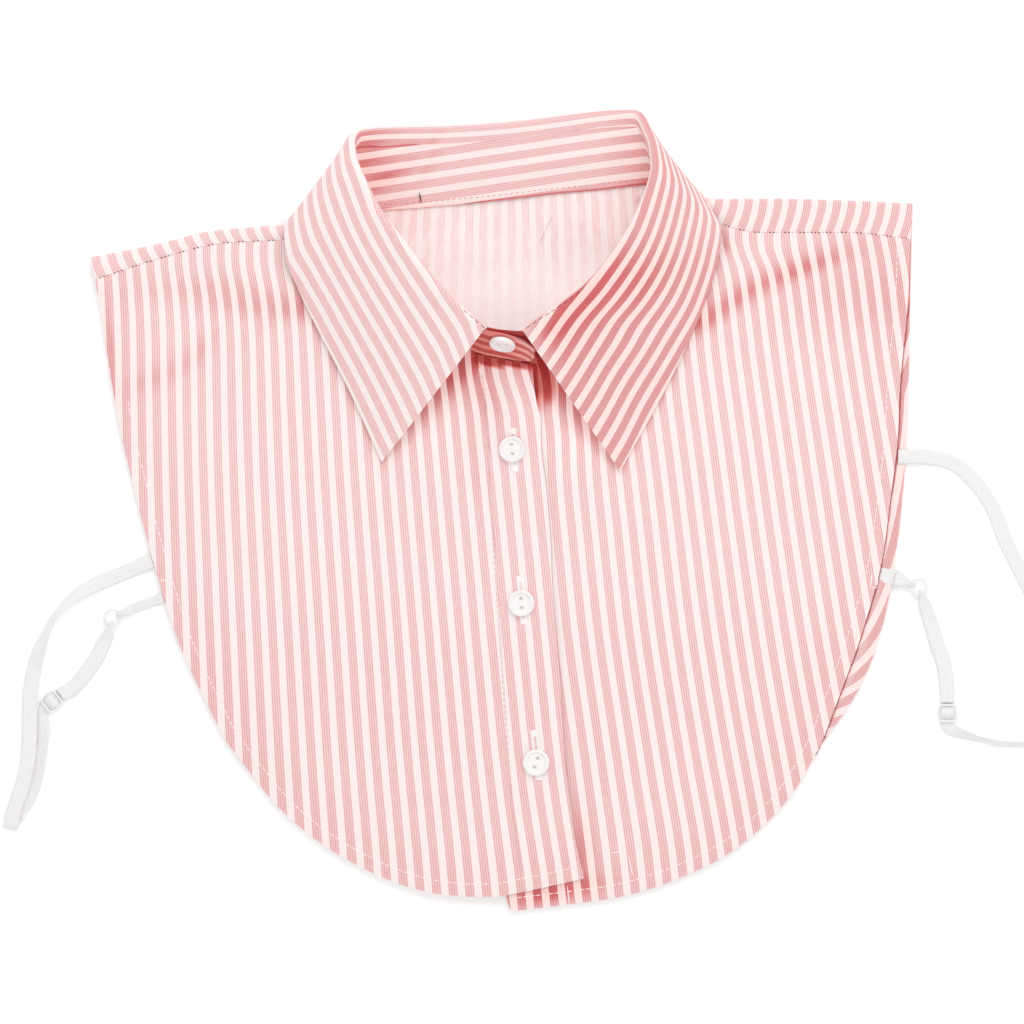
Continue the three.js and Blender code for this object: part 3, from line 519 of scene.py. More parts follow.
def striped_cotton():
    """Pink and white bands from the stripe count, darker yarns inside the pink, slubs and weave, with
    painted shade and a painted glow.
    """
    finish = Finish("striped_cotton")
    count, along, lit = finish.field("threads")
    wrong, shade, deep = finish.field("looks")
    off = (count + 0.5).math("FRACT") - 0.5
    side = off.math("ABSOLUTE")
    place = finish.node("ShaderNodeCombineXYZ", inputs={0: count, 1: along})
    slub_place = finish.node("ShaderNodeCombineXYZ", inputs={0: count * 9, 1: along * 1.3})
    slub = finish.noise(slub_place, 1.6, 3)
    patchy = finish.noise(place, 0.9, 4, 0.6)
    pink = 1 - finish.step(side, 0.25, 0.285)
    yarn = 0.5 - (off * (2 * math.pi / YARN)).math("COSINE") * 0.5
    yarn = finish.step(yarn, 0.3, 1.0) * (0.55 + finish.step(slub, 0.25, 0.7) * 0.45)
    band = finish.blend(yarn, srgb(251, 219, 218), srgb(233, 174, 176))
    white = finish.blend(finish.step(slub, 0.4, 0.75) * 0.5, srgb(255, 243, 241), srgb(253, 236, 233))
    worn_place = finish.node("ShaderNodeCombineXYZ", inputs={0: count * 2.6, 1: along * 0.8})
    worn = finish.step(finish.noise(worn_place, 1.0, 5, 0.75), 0.42, 0.68)
    band = finish.blend(wrong * (0.3 + worn * 0.3 + patchy * 0.45), band, srgb(254, 241, 240))
    white = finish.blend(wrong * (0.25 + worn * 0.7), white, srgb(255, 250, 249))
    # Painted shade: the looks deepen the pink bands and the white ones, then the whole colour.
    band = deepened(finish, band, shade, (0.66, 0.18, 0.19, 1.0), (0.38, 0.06, 0.065, 1.0))
    white = deepened(finish, white, shade, (1.0, 0.80, 0.78, 1.0), (0.95, 0.44, 0.41, 1.0))
    colour = finish.blend(pink, white, band)
    colour = deepened(finish, colour, deep, (1.0, 0.47, 0.44, 1.0), (0.34, 0.035, 0.04, 1.0))
    over = (count * (2 * math.pi * WEAVE)).math("SINE")
    under = (along * (2 * math.pi * WEAVE)).math("SINE")
    weave = over * under * 0.5 + slub * 1.5
    bump = finish.node("ShaderNodeBump", inputs={"Strength": 0.25, "Distance": 0.0001, "Height": weave})
    # Painted light: an emission that glows where the cloth is shaded, on white bands beside the collar,
    # red where it is deepest, and pale on the wrong side seen through the neck.
    through = finish.blend(shade - deep, (0, 0, 0, 1), (0.28, 0.12, 0.11, 1.0))
    painted_glow_tint = finish.blend(pink, (0.8, 0.64, 0.63, 1.0), (0.42, 0.13, 0.12, 1.0))
    through = finish.blend(lit, through, painted_glow_tint)
    through = finish.blend(deep - 0.9, through, (0.42, 0.03, 0.03, 1.0))
    through = finish.blend(wrong - 1, through, (0.42, 0.72, 0.7, 1.0))
    return finish.surface(
        Base_Color=colour, Roughness=0.86, Sheen_Weight=0.15, Normal=bump, Emission_Color=through,
        Emission_Strength=0.25)


COTTON = striped_cotton()
print("cotton made of", len(COTTON.node_tree.nodes), "nodes")

# %% [markdown]
# ## Where the stripes run
# Each piece was cut with its stripes lengthwise, so the count is nearly x divided by seven, leaning
# and spreading a little towards the hem. On the collar the stripes run round the neck, so there the
# count is the distance from the fold. A few local shifts bend the stripes where the cloth is pulled.

# %% Pulls
# Pulls in the cloth that bend the stripes: x y reachX reachY shift, in mm.
LEFT_PULLS = np.array([
    (-136, 80, 48, 26, -1.5), (-120, 112, 60, 10, 1.4), (-55, -165, 60, 45, -1.2),
    (-75, -60, 50, 50, -0.3), (-5, 66, 24, 16, 3.2), (15, -175, 30, 38, -2.6),
    (-122, 45, 60, 28, -0.5), (-8, 63, 24, 8, 0.7), (-12, 45, 16, 6, -0.35),
])
RIGHT_PULLS = np.array([
    (80, -54, 150, 48, 1.6), (110, 0, 40, 30, 0.5), (70, -150, 35, 22, -0.9),
    (100, 125, 120, 52, -2.2), (165, 112, 30, 26, -1.4), (72, 95, 12, 14, -1.1),
    (58, 66, 10, 10, -0.9), (107, 116, 14, 7, 1.3), (6, 32, 10, 18, -1.2),
    (24, 32, 14, 14, -1.0), (95, -95, 30, 30, 0.5), (96, 122, 16, 9, 2.5),
    (10, 58, 20, 13, -2.9), (12, 37, 20, 10, -0.5),
])


def pulled(x, y, pulls):
    """Shift of the stripes in mm: a Gaussian about each pull."""
    total = np.zeros_like(x)
    for px, py, wide, high, shift in pulls:
        total += shift * np.exp(-(((x - px) / wide) ** 2) - ((y - py) / high) ** 2)
    return total


print("pulls:", len(LEFT_PULLS), "on the left and", len(RIGHT_PULLS), "on the right")

# %% Stripe counts
PITCH = 7.0

# On the strip over each shoulder: x of a stripe, which stripe it is, and the pitch there.
LEFT_STRIP, RIGHT_STRIP = (-168.4, -23, 6.9), (104.0, 18, 6.62)
STRIP_Y = 120.0  # the y at which those strips are counted
STRIP_FROM, STRIP_EASE = (-70, 62), 15  # where their count takes over from the back's, and how fast
STRIP_LEVEL, STRIP_RISE = 60, 45  # and the same up the back
BACK_START = -15.5  # x of the back's stripe 0
NECK_LEVEL, NECK_PITCH, NECK_CLOSING = 122, 6.4, 0.0086  # the back's pitch by the neck


def stripes_up(pulls, level, start, lean, pitch, narrowing=0.0):
    """Count of stripes that run up the cloth, as a function: x with its pulls, from where stripe 0
    starts at a level, leaning with the height above it, over a pitch that narrows with that height."""
    def count(x, y):
        """The count at x and y."""
        above = y - level
        return (x + pulled(x, y, pulls) - start + lean * above) / (pitch - narrowing * above)
    return count


left_count = stripes_up(
    LEFT_PULLS, level=-40.05, start=-33.93, lean=0.0925, pitch=6.975, narrowing=0.0032)
right_count = stripes_up(
    RIGHT_PULLS, level=-17.55, start=26.5, lean=0.1286, pitch=6.912, narrowing=0.0028)
band_count = stripes_up(LEFT_PULLS, level=4.95, start=-11.0, lean=0.1025, pitch=6.93)


def back_count(x, y):
    """Stripes of the back, closer together towards the neck, and a little off at each shoulder."""
    middle = (x - BACK_START) / np.minimum(PITCH, NECK_PITCH - NECK_CLOSING * (y - NECK_LEVEL))
    rising = ease((y - STRIP_LEVEL) / STRIP_RISE)
    left = rising * ease((STRIP_FROM[0] - x) / STRIP_EASE)
    right = rising * ease((x - STRIP_FROM[1]) / STRIP_EASE)
    at_left, at_right = [
        (x - start) / pitch + stripe for start, stripe, pitch in (LEFT_STRIP, RIGHT_STRIP)
    ]
    return middle * (1 - left - right) + at_left * left + at_right * right


first, last = left_count(np.array([-176.0, -12.0]), np.zeros(2))
print("stripes across the left front at y = 0:", round(float(last - first), 1))

# %% Numbers for the finish
def threads_of(count, along, lit=0.0):
    """The cloth's own coordinates, both in stripes, and how strongly its white bands glow with painted
    light.
    """
    parts = [np.broadcast_to(part, np.shape(count)) for part in (count, along / PITCH, lit)]
    return np.stack(parts, -1).reshape(-1, 3)


def looks_of(wrong, shade, like, deep=0.0):
    """How far we see the wrong side, how deep the painted shade on the bands is, and how deep it is on
    the whole.
    """
    parts = [np.broadcast_to(part, like.shape) for part in (wrong, shade, deep)]
    return np.stack(parts, -1).reshape(-1, 3)


print("looks of a plain point:", looks_of(0.0, 0.0, np.zeros(1)))

# %% [markdown]
# ## Hems
# The hems are turned under and topstitched, so the cloth is thicker outside the row of stitches, and
# the thread puckers it a little. Both are worked out from each point's distance to the outline.

# %% Hem helpers
HEM_EXTRA = 0.3  # how much thicker the hems are
PUCKER, PUCKER_REACH = 0.13, 2.4  # height of the puckers, and how far from the stitches they reach


def hem_of(points, outline):
    """Distance to the outline, extra thickness outside the stitches, and the pucker along them."""
    apart, which = nearest(points[..., :2].reshape(-1, 2), outline)
    apart = apart.reshape(points.shape[:-1])
    travelled = lengths(outline)[which].reshape(points.shape[:-1])
    thicker = HEM_EXTRA * (1 - ease((apart - HEM + 0.5) / 1.0))
    pucker = PUCKER * np.exp(-(((apart - HEM) / PUCKER_REACH) ** 2))
    wave = np.sin(travelled / 1.15 + 2.0 * np.sin(travelled / 13.0)) + 0.6 * np.sin(travelled / 2.9)
    return apart, thicker, pucker * wave


def inside(outline, distance):
    """A line at a distance to the left of an outline's way."""
    way = unit(np.gradient(outline, axis=0))
    return outline + np.stack([-way[:, 1], way[:, 0]], 1) * distance


# %% [markdown]
# ## The back panel
# One piece of cloth: it covers the whole plan, and along each shoulder it rolls over towards us and
# ends at the front's shoulder seam. Flat, its wrong side is up, which is the pale, mottled cloth seen
# through the neck. We make one grid whose upper rows are the roll, and leave out the faces between
# the shoulders, where the neck is.

# %% Back outline
BACK_OUTLINE = np.array([
    (-198.2, 112.1), (-193.6, 95), (-189.3, 68), (-181.8, 31), (-168.5, -20), (-155.5, -60),
    (-135.5, -101), (-107.0, -134), (-70, -153), (-20, -163), (30, -161), (75, -149), (110, -126),
    (129.9, -105.3), (146.7, -81), (156.4, -57), (163.8, -19.8), (168.7, 31), (170.0, 75),
    (170.6, 112), (171.0, 136.2),
])
BACK_CORNERS = (7, 12)  # rows where the hem starts and ends
BACK_NECK_EDGE = np.array([
    (-84.8, 128.8), (-78.0, 135.6), (-66.0, 137.4), (-14.4, 141.7), (30.6, 146.4), (50.0, 147.4),
    (60.8, 140.1),
])
LEFT_COLUMNS, NECK_COLUMNS, RIGHT_COLUMNS, SIDE_ROWS = 44, 60, 44, 120
ROLL_STEPS, STRIP_STEPS = 14, 9
STRIP_PUFF = 0.45  # how far the strip over a shoulder bulges
STRIPE_SLANT_FROM = 0.12  # share of the strip over which the stripes still run straight
LEFT_SLANT, RIGHT_SLANT = -3.6, 4.4  # how far they have turned aside at the seam


# %% Shoulder rolls
def stations(rows, count):
    """Shoulder rows at even steps along x."""
    return monotone(rows[:, 0], rows)(np.linspace(rows[0, 0], rows[-1, 0], count + 1))


left_stations = stations(LEFT_SHOULDER, LEFT_COLUMNS)
right_stations = stations(RIGHT_SHOULDER, RIGHT_COLUMNS)


def roll_start(rows):
    """Where the flat panel ends: inside the shoulder's outer edge by the wall and the roll."""
    return np.stack([rows[:, 0], rows[:, 1] - 0.5 - SHOULDER_ROLL], 1)


def shoulder_roll(rows):
    """From the seam back to the flat panel: a straight strip, then half a turn about the roll's
    radius. Gives the points, and the x at which their stripe starts at the top of the roll."""
    start = roll_start(rows)
    floor = back_height(start[:, 0], start[:, 1])
    angle = np.radians(np.linspace(-90, 90, ROLL_STEPS + 1))[:, None]
    turn = np.stack([
        np.broadcast_to(start[:, 0], (ROLL_STEPS + 1, len(start))),
        start[:, 1] + SHOULDER_ROLL * np.cos(angle),
        floor + SHOULDER_ROLL + SHOULDER_ROLL * np.sin(angle),
    ], -1)
    seam = np.stack([rows[:, 2], rows[:, 3], front_height(rows[:, 2], rows[:, 3])], 1)
    t = np.linspace(0, 1, STRIP_STEPS + 1)[1:, None, None]
    strip = turn[-1] * (1 - t) + seam * t
    strip[..., 2] += STRIP_PUFF * np.sin(math.pi * t[..., 0])
    folded = np.concatenate([turn, strip])
    far = np.concatenate([
        np.zeros((1, len(start))), np.cumsum(np.linalg.norm(np.diff(folded, axis=0), axis=2), axis=0),
    ])
    apex = far[ROLL_STEPS // 2]
    down = np.clip((far - apex) / (far[-1] - apex) - STRIPE_SLANT_FROM, 0, 1)
    slant = np.where(rows[:, 0] < 0, LEFT_SLANT, RIGHT_SLANT) * down ** 1.5
    return folded[::-1], (folded[..., 0] + slant)[::-1]


# %% Back grid
neck_top = smooth_line(BACK_NECK_EDGE, NECK_COLUMNS)[1:-1]
back_top = np.vstack([roll_start(left_stations), neck_top, roll_start(right_stations)])
back_left = smooth_line(np.vstack([back_top[:1], BACK_OUTLINE[1:BACK_CORNERS[0] + 1]]), SIDE_ROWS)
back_right = smooth_line(
    np.vstack([back_top[-1:], BACK_OUTLINE[BACK_CORNERS[1]:-1][::-1]]), SIDE_ROWS)
back_bottom = smooth_line(BACK_OUTLINE[BACK_CORNERS[0]:BACK_CORNERS[1] + 1], len(back_top) - 1)
back_plan = patch(back_top, back_bottom, back_left, back_right)
back_hem = np.vstack([back_left, back_bottom[1:], back_right[::-1][1:]])
back_flat = np.dstack([back_plan, back_height(back_plan[..., 0], back_plan[..., 1])])
_, back_thicker, back_pucker = hem_of(back_flat, back_hem)
back_flat[..., 2] += back_pucker + back_thicker * 0.5

left_roll, left_stripe_x = shoulder_roll(left_stations)
right_roll, right_stripe_x = shoulder_roll(right_stations)
roll_rows = len(left_roll) - 1
neck_gap = np.zeros((roll_rows, len(neck_top), 3))
back_grid = np.vstack([np.hstack([left_roll[:-1], neck_gap, right_roll[:-1]]), back_flat])
print("back grid:", back_grid.shape[:2], "rows and columns")

# %% Back panel
stripe_x = np.vstack([
    np.hstack([left_stripe_x[:-1], neck_gap[..., 0], right_stripe_x[:-1]]), back_plan[..., 0],
])
stripe_y = np.vstack([np.full((roll_rows, back_grid.shape[1]), STRIP_Y), back_plan[..., 1]])
back_faces = grid_faces(*back_grid.shape[:2])
column = np.tile(np.arange(back_grid.shape[1] - 1), back_grid.shape[0] - 1)
row = np.repeat(np.arange(back_grid.shape[0] - 1), back_grid.shape[1] - 1)
in_neck = (row < roll_rows) & (column >= LEFT_COLUMNS) & (column < LEFT_COLUMNS + NECK_COLUMNS)
back_rows = np.arange(back_grid.shape[0])[:, None] + np.zeros(back_grid.shape[1])
# Painted shade: a little on the strip over the right shoulder and deep under the stand. The wrong side
# seen through the neck gets a painted glow there.
right_strip = np.where((back_rows < roll_rows) & (back_grid[..., 0] > 0), 0.16, 0.03)
painted_neck_glow = np.clip((128 - stripe_y) / 45, 0, 1) * ease((stripe_y - 74) / 6)
under_stand = 1.9 * ease((80 - stripe_y) / 10) * ease((40 - abs(stripe_x)) / 12)
cloth(
    "back_panel_cloth", back_grid.reshape(-1, 3), back_faces[~in_neck],
    np.vstack([np.full((roll_rows, back_grid.shape[1]), CLOTH), CLOTH + back_thicker]).ravel(),
    COTTON, threads_of(back_count(stripe_x, stripe_y), back_grid[..., 1]),
    looks_of(1 + painted_neck_glow, 0.0, stripe_x, under_stand), looks_of(0.0, right_strip, stripe_x),
    "back_panel",
)

# %% [markdown]
# ## The fronts and their button bands
# Each front is a quarter of the plan, from the shoulder seam and the neck down to a round hem. Its
# inner edge is sewn to a straight band: the left one laps over the right one. The bands are
# separate pieces, as a shirt maker cuts them. Where they lie in the collar's shade, a painted shade
# turns the cloth a deep pink, as light that comes to it through and off pink cloth would.

# %% Front outlines
LEFT_FRONT_OUTLINE = np.array([
    (-191.3, 73), (-184.5, 34), (-171.0, -20), (-158.0, -61), (-138.0, -103), (-109.8, -137.3),
    (-79.2, -158.9), (-48.0, -171.0), (-17.6, -173.3), (-3.4, -171.0),
])
LEFT_FRONT_CORNER = 4  # row where the side turns into the hem
RIGHT_FRONT_OUTLINE = np.array([
    (169.2, 96.8), (165.4, 55), (164.4, 32), (161.1, 5), (157.0, -24),
    (147.6, -57.2), (139.0, -81.0), (129.9, -105.3), (114.8, -129.8), (90.5, -152.6), (60.3, -167.4),
    (38.3, -173.7), (16.4, -176.9),
])
RIGHT_FRONT_CORNER = 7
LEFT_BAND_SEAM = np.array([
    (-23.6, 69.9), (-20.8, 50.0), (-19.4, 31.5), (-18.9, 14.0), (-16.9, -15.3), (-8.6, -131.5),
    (-5.4, -156.5), (-3.4, -171.0),
])
LEFT_BAND_EDGE = np.array([
    (0.4, 65.3), (1.0, 55.4), (2.6, 46.4), (3.8, 42.4), (3.9, 34.0), (4.5, 24.8), (6.4, 10.0),
    (8.5, -17.0), (8.9, -30.0), (12.6, -76.5), (14.9, -113), (19.1, -146.7), (23.4, -165.2),
])
RIGHT_BAND_SEAM = np.array([(0.6, 70.6), (7.0, -30), (16.4, -176.9)])
RIGHT_BAND_EDGE = np.array([(-25.6, 71.2), (-19.5, -40), (-11.9, -172), (-9.6, -180)])
FRONT_ROWS, NECK_PART, BAND_COLUMNS = 140, 36, 28

# %% [markdown]
# The collar's painted shade lies beside the leaf's front edges, most by the neck where the leaf stands
# high, and as a thin line along its long free edge. These lines are the leaf's edges seen from above.

# %% The leaf from above
LEAF_FRONTS = (np.array([(-20.8, 80.5), (-67.5, 22.0)]), np.array([(-4.3, 79.9), (39.6, 18.0)]))
LEAF_SIDES = (
    np.array([(-67.5, 22.0), (-82.4, 54.9), (-96.3, 81.9), (-105.3, 100.4), (-110.3, 113.0)]),
    np.array([(39.6, 18.0), (60.8, 56.7), (76.5, 90.9), (83.3, 112.5), (86.0, 125.1)]),
)
print("leaf's front edges:", [round(lengths(line)[-1]) for line in LEAF_FRONTS], "mm in plan")

# %% Painted shade of the collar
def collar_shade(x, y, lapped):
    """Painted shade: it falls off with the distance to the leaf's edges, less towards the points of the
    leaf. It is deepest under the stand on the cloth that laps, and beside the lap on the cloth below.
    Gives the painted shade of the pink bands, that of the whole cloth, and how strongly the white
    bands glow with painted light."""
    flat = np.stack([x, y], -1).reshape(-1, 2)
    total = np.zeros(len(flat))
    lit = np.zeros(len(flat))
    for edge, most, painted_glow_most in zip(LEAF_FRONTS, (1.65, 1.6), (0.75, 1.2)):
        line = walk(edge, np.linspace(0, lengths(edge)[-1], 60))
        apart, which = nearest(flat, line)
        close = 1 - which / 59
        reach = 2.6 + 9 * close ** 1.5
        total = np.maximum(total, (0.25 + most * close ** 1.6) * np.exp(-((apart / reach) ** 2)))
        lit = np.maximum(lit, painted_glow_most * ease(close / 0.3) * np.exp(-((apart / 18) ** 2)))
    for edge in LEAF_SIDES:
        apart, _ = nearest(flat, smooth_line(edge, 60))
        total = np.maximum(total, 0.32 * np.exp(-((apart / 2.6) ** 2)))
    total, lit = total.reshape(x.shape), lit.reshape(x.shape)
    if lapped:
        most = 1.75 * ease((y - 63.4 + 0.066 * x) / 0.9) * ease((x + 29) / 5)
    else:
        beside = nearest(flat, smooth_line(LEFT_BAND_EDGE, 500))[0].reshape(x.shape)
        most = 1.45 * ease((y - 44) / 12) * ease((14 - x) / 7)
        most = np.maximum(most, 2.5 * ease((y - 41) / 13) * np.exp(-((beside / 2.2) ** 2)))
    return np.maximum(total, np.minimum(most, 0.8)), most, lit * (1 - ease(most))


# %% Valleys
# Valleys between the folds, where painted shade deepens the pink: x y heading length width depth.
VALLEYS = np.array([
    (78, 85, 35, 10, 6, 0.7), (92, 94, 38, 12, 6, 0.45), (112, 104.5, 24, 30, 6, 0.45),
    (87, 119, 60, 5, 3.5, 0.5), (126, 110, 18, 22, 5, 0.3), (149, 95, 0, 40, 25, 0.3),
    (-124, 92, -7, 32, 9, 0.42), (-103, 90, -20, 9, 7, 0.3), (-152, 100, 4, 26, 6, 0.15),
    (-168, 60, 24, 18, 6, 0.3), (-148, 73, 50, 11, 5, 0.3), (-124, 80, 30, 12, 3, 0.12),
    (-189, 68, 98, 30, 3, 0.45), (-20, 52, 100, 14, 9, 0.5), (-24, 20, 97, 24, 5, 0.15),
])

# Painted shade of the lap on the right band and front, under the hem and beside the edge.
LAP_VALLEYS = np.array([(8, -171.5, 11, 20, 4.5, 1.0), (23, -152, 98, 20, 5, 0.55)])
print("valleys:", len(VALLEYS), "on the fronts and", len(LAP_VALLEYS), "beside the lap")


def front(node, grid, hem, height, count):
    """A front panel or band: its plan grid raised to its height, with hem, stripes and painted shade."""
    x, y = grid[..., 0], grid[..., 1]
    points = np.dstack([grid, height(x, y)])
    apart, thicker, pucker = hem_of(points, hem)
    points[..., 2] += pucker + thicker * 0.5
    lapped = height is lapped_height
    shade, deep, lit = collar_shade(x, y, lapped)
    # Painted shade: the valleys, a little more within 30 mm of the hem, and more towards the bottom.
    shade = shade + ridge(x, y, VALLEYS, 0.65) + 0.12 * (1 - ease(apart / 30))
    shade = shade + 0.09 * ease((-20 - y) / 60)
    if not lapped:
        shade = shade + ridge(x, y, LAP_VALLEYS)
    looks = looks_of(0.0, np.clip(shade, 0, 1.6), x, deep)
    cloth(
        f"{node}_cloth", points.reshape(-1, 3), grid_faces(*x.shape), (CLOTH + thicker).ravel(), COTTON,
        threads_of(count(x, y), y, lit), looks, looks_of(0.85, 0.0, x), node,
    )
    area_of(points)


def seam_edge(rows):
    """The front's edge along a shoulder: the seam, less the gap between sewn pieces."""
    return np.stack([rows[:, 2], rows[:, 3] - SEAM], 1)


# %% The two fronts
left_top = np.vstack([
    seam_edge(left_stations), smooth_line(NECK_EDGE[:NECK_FRONT + 1, :2], NECK_PART)[1:],
])
left_hem_line = smooth_line(LEFT_FRONT_OUTLINE[LEFT_FRONT_CORNER:], len(left_top) - 1)
left_side_line = smooth_line(
    np.vstack([left_top[:1], LEFT_FRONT_OUTLINE[:LEFT_FRONT_CORNER + 1]]), FRONT_ROWS)
left_hem = np.vstack([left_side_line, left_hem_line[1:]])
left_seam = smooth_line(LEFT_BAND_SEAM, FRONT_ROWS)
front(
    "left_front", patch(left_top, left_hem_line, left_side_line, left_seam),
    np.vstack([left_hem, [LEFT_BAND_EDGE[-1]]]), lapped_height, left_count,
)
right_top = np.vstack([
    smooth_line(NECK_EDGE[NECK_FRONT + 1:, :2], NECK_PART), seam_edge(right_stations)[1:],
])
right_hem_line = smooth_line(RIGHT_FRONT_OUTLINE[RIGHT_FRONT_CORNER:][::-1], len(right_top) - 1)
right_side_line = smooth_line(
    np.vstack([right_top[-1:], RIGHT_FRONT_OUTLINE[:RIGHT_FRONT_CORNER + 1]]), FRONT_ROWS)
right_hem = np.vstack([right_side_line, right_hem_line[::-1][1:]])
right_seam = smooth_line(RIGHT_BAND_SEAM, FRONT_ROWS)
front(
    "right_front", patch(right_top, right_hem_line, right_seam, right_side_line),
    right_hem, front_height, right_count,
)

# %% The two bands
LEFT_BAND_HEM = np.array([(-30.0, -172.8), (-3.4, -171.0), (23.4, -165.2), (26, -164.6)])
RIGHT_BAND_HEM = np.array([(-14.0, -180.4), (-9.6, -180.0), (16.4, -176.9), (30, -175.2)])


def band(node, left, right, hem, height, count):
    """A strip between two lines, straight across at every step."""
    left, right = smooth_line(left, FRONT_ROWS), smooth_line(right, FRONT_ROWS)
    t = np.linspace(0, 1, BAND_COLUMNS + 1)[None, :, None]
    grid = left[:, None] * (1 - t) + right[:, None] * t
    front(node, grid, smooth_line(hem, 80), height, count)


band("left_band", LEFT_BAND_SEAM + (SEAM, 0), LEFT_BAND_EDGE, LEFT_BAND_HEM, lapped_height, band_count)
band("right_band", RIGHT_BAND_EDGE, RIGHT_BAND_SEAM - (SEAM, 0), RIGHT_BAND_HEM,
     front_height, right_count)

# %% [markdown]
# The back's hem is turned in, towards us, so along the back's edge we see a narrow strip of its right
# side. Its stripes are those of the cloth just outside the edge, mirrored over it, which is why they
# cross the side stripes at an angle. It is a thin cloth of its own on the panel. Inside its row of
# stitches it is as pale as the wrong side, and a painted shade puts a dark line beside the fronts'
# edges and darkens it towards the right.

# %% The back's turned hem
HEM_STRIP = 0.3  # thickness of the strip
HEM_STRIP_UP = 0.72  # its middle above the panel's middle
HEM_STRIP_IN = 0.35  # how far inside the edge it starts
PAST_STITCHES = 3.6  # how far the strip goes on inside the stitches

back_edge = smooth_line(back_hem[::5], 520)
hem_across = np.linspace(HEM_STRIP_IN, HEM + PAST_STITCHES, 31)
hem_way = unit(np.gradient(back_edge, axis=0))
hem_in = np.stack([-hem_way[:, 1], hem_way[:, 0]], 1)
hem_plan = back_edge[None] + hem_in[None] * hem_across[:, None, None]
hem_mirror = back_edge[None] - hem_in[None] * hem_across[:, None, None]
hem_x, hem_y = hem_plan[..., 0], hem_plan[..., 1]
hem_pucker = hem_of(hem_plan, back_edge)[2]
hem_grid = np.dstack([hem_plan, back_height(hem_x, hem_y) + HEM_STRIP_UP + hem_pucker])
to_front = nearest(hem_plan.reshape(-1, 2), np.vstack([left_hem, right_hem]))[0].reshape(hem_x.shape)
# Painted shade: a dark line beside the fronts' edges, and more towards the right.
by_front = 1 - ease((to_front - 0.45) / 0.8)
hem_shade = 0.06 + 0.3 * ease((hem_x - 100) / 60) + 0.4 * by_front
hem_width = HEM - 1.8 * ease((hem_x - 110) / 20)
past_hem = ease(hem_across[:, None] - hem_width)
cloth(
    "back_hem_cloth", hem_grid.reshape(-1, 3), grid_faces(*hem_x.shape)[:, ::-1],
    np.full(hem_x.size, HEM_STRIP), COTTON,
    threads_of(back_count(hem_mirror[..., 0], hem_mirror[..., 1]), hem_mirror[..., 1]),
    looks_of(0.9 * past_hem, hem_shade, hem_x, 0.9 * by_front), looks_of(0.0, 0.2, hem_x), None,
)
area_of(hem_grid)
print("length of the back's hem:", round(lengths(back_edge)[-1]), "mm")

# %% [markdown]
# ## The collar
# A shirt collar is two pieces: the stand, a band that rises from the neck edge, and the leaf, which
# is sewn to the top of the stand and turns down over it. We lay ribs across the collar all the way
# round: each rib says where the foot, the top and the leaf's free edge are. The leaf's rib goes up a
# few millimetres, round a soft fold and down in a curve to its edge.

# %% Collar ribs
# footX footY footZ topX topY topZ edgeX edgeY edgeZ rise sag
COLLAR = np.array([
    (-24.3, 71.5, 9.8, -20.8, 80.5, 29.0, -67.5, 22.0, 4.4, 2.2, -1.5),
    (-45.9, 89.5, 8.8, -39.6, 97.2, 29.5, -82.4, 54.9, 5.0, 2.2, -2.0),
    (-62.1, 110.2, 7.7, -54.6, 115.5, 28.5, -96.3, 81.9, 5.6, 2.2, -2.0),
    (-74.5, 124.5, 6.9, -67.9, 132.8, 26.0, -105.3, 100.4, 6.4, 2.2, -1.5),
    (-79.0, 128.4, 6.4, -75.3, 146.6, 22.0, -110.3, 113.0, 7.4, 2.6, -0.5),
    (-80.3, 131.0, 5.9, -78.6, 154.4, 18.5, -111.2, 123.6, 7.5, 3.0, 0.0),
    (-80.7, 132.6, 5.4, -79.2, 157.4, 16.4, -111.0, 128.3, 6.4, 3.2, 0.0),
    (-80.8, 134.2, 4.9, -79.6, 161.2, 14.2, -110.0, 129.9, 3.8, 3.8, 0.0),
    (-79.8, 135.0, 4.4, -79.0, 162.9, 12.2, -107.8, 129.4, 1.5, 4.6, 1.0),
    (-78.4, 135.3, 4.0, -77.4, 163.7, 10.4, -104.6, 128.2, 0.5, 5.6, 3.4),
    (-67.0, 135.4, 3.9, -66.0, 164.0, 9.5, -84.0, 124.2, 0.5, 6.5, 5.0),
    (-40.5, 137.2, 3.9, -40.4, 164.9, 9.5, -48.2, 125.6, 0.5, 6.0, 5.2),
    (-14.4, 139.7, 3.9, -14.4, 166.5, 9.5, -14.4, 127.8, 0.5, 5.8, 5.2),
    (8.1, 142.4, 3.9, 10.3, 169.7, 9.5, 19.4, 131.4, 0.5, 5.1, 5.2),
    (30.6, 144.4, 3.9, 32.7, 172.0, 9.5, 52.2, 135.9, 0.5, 5.2, 5.0),
    (51.0, 146.6, 4.0, 46.6, 172.6, 10.4, 71.0, 138.6, 0.5, 4.9, 3.4),
    (56.6, 146.0, 4.9, 51.4, 165.6, 14.2, 74.6, 143.0, 3.8, 3.8, 0.0),
    (57.0, 144.6, 5.4, 52.8, 161.8, 16.4, 77.4, 140.6, 6.3, 3.4, 0.0),
    (57.0, 143.0, 5.9, 53.4, 158.2, 18.5, 80.6, 135.2, 7.6, 3.0, 0.0),
    (56.2, 139.3, 6.4, 53.6, 152.4, 22.0, 85.0, 125.1, 7.2, 2.6, -0.5),
    (54.2, 133.5, 6.9, 51.3, 143.0, 26.0, 83.3, 112.5, 6.4, 2.2, -1.5),
    (47.2, 118.7, 7.6, 42.7, 124.2, 28.5, 76.5, 90.9, 5.4, 2.2, -2.0),
    (30.8, 95.0, 8.0, 25.1, 101.1, 29.5, 60.8, 56.7, 4.8, 2.2, -2.0),
    (-1.3, 72.4, 8.2, -4.3, 79.9, 28.0, 39.6, 18.0, 4.2, 2.2, -1.5),
])
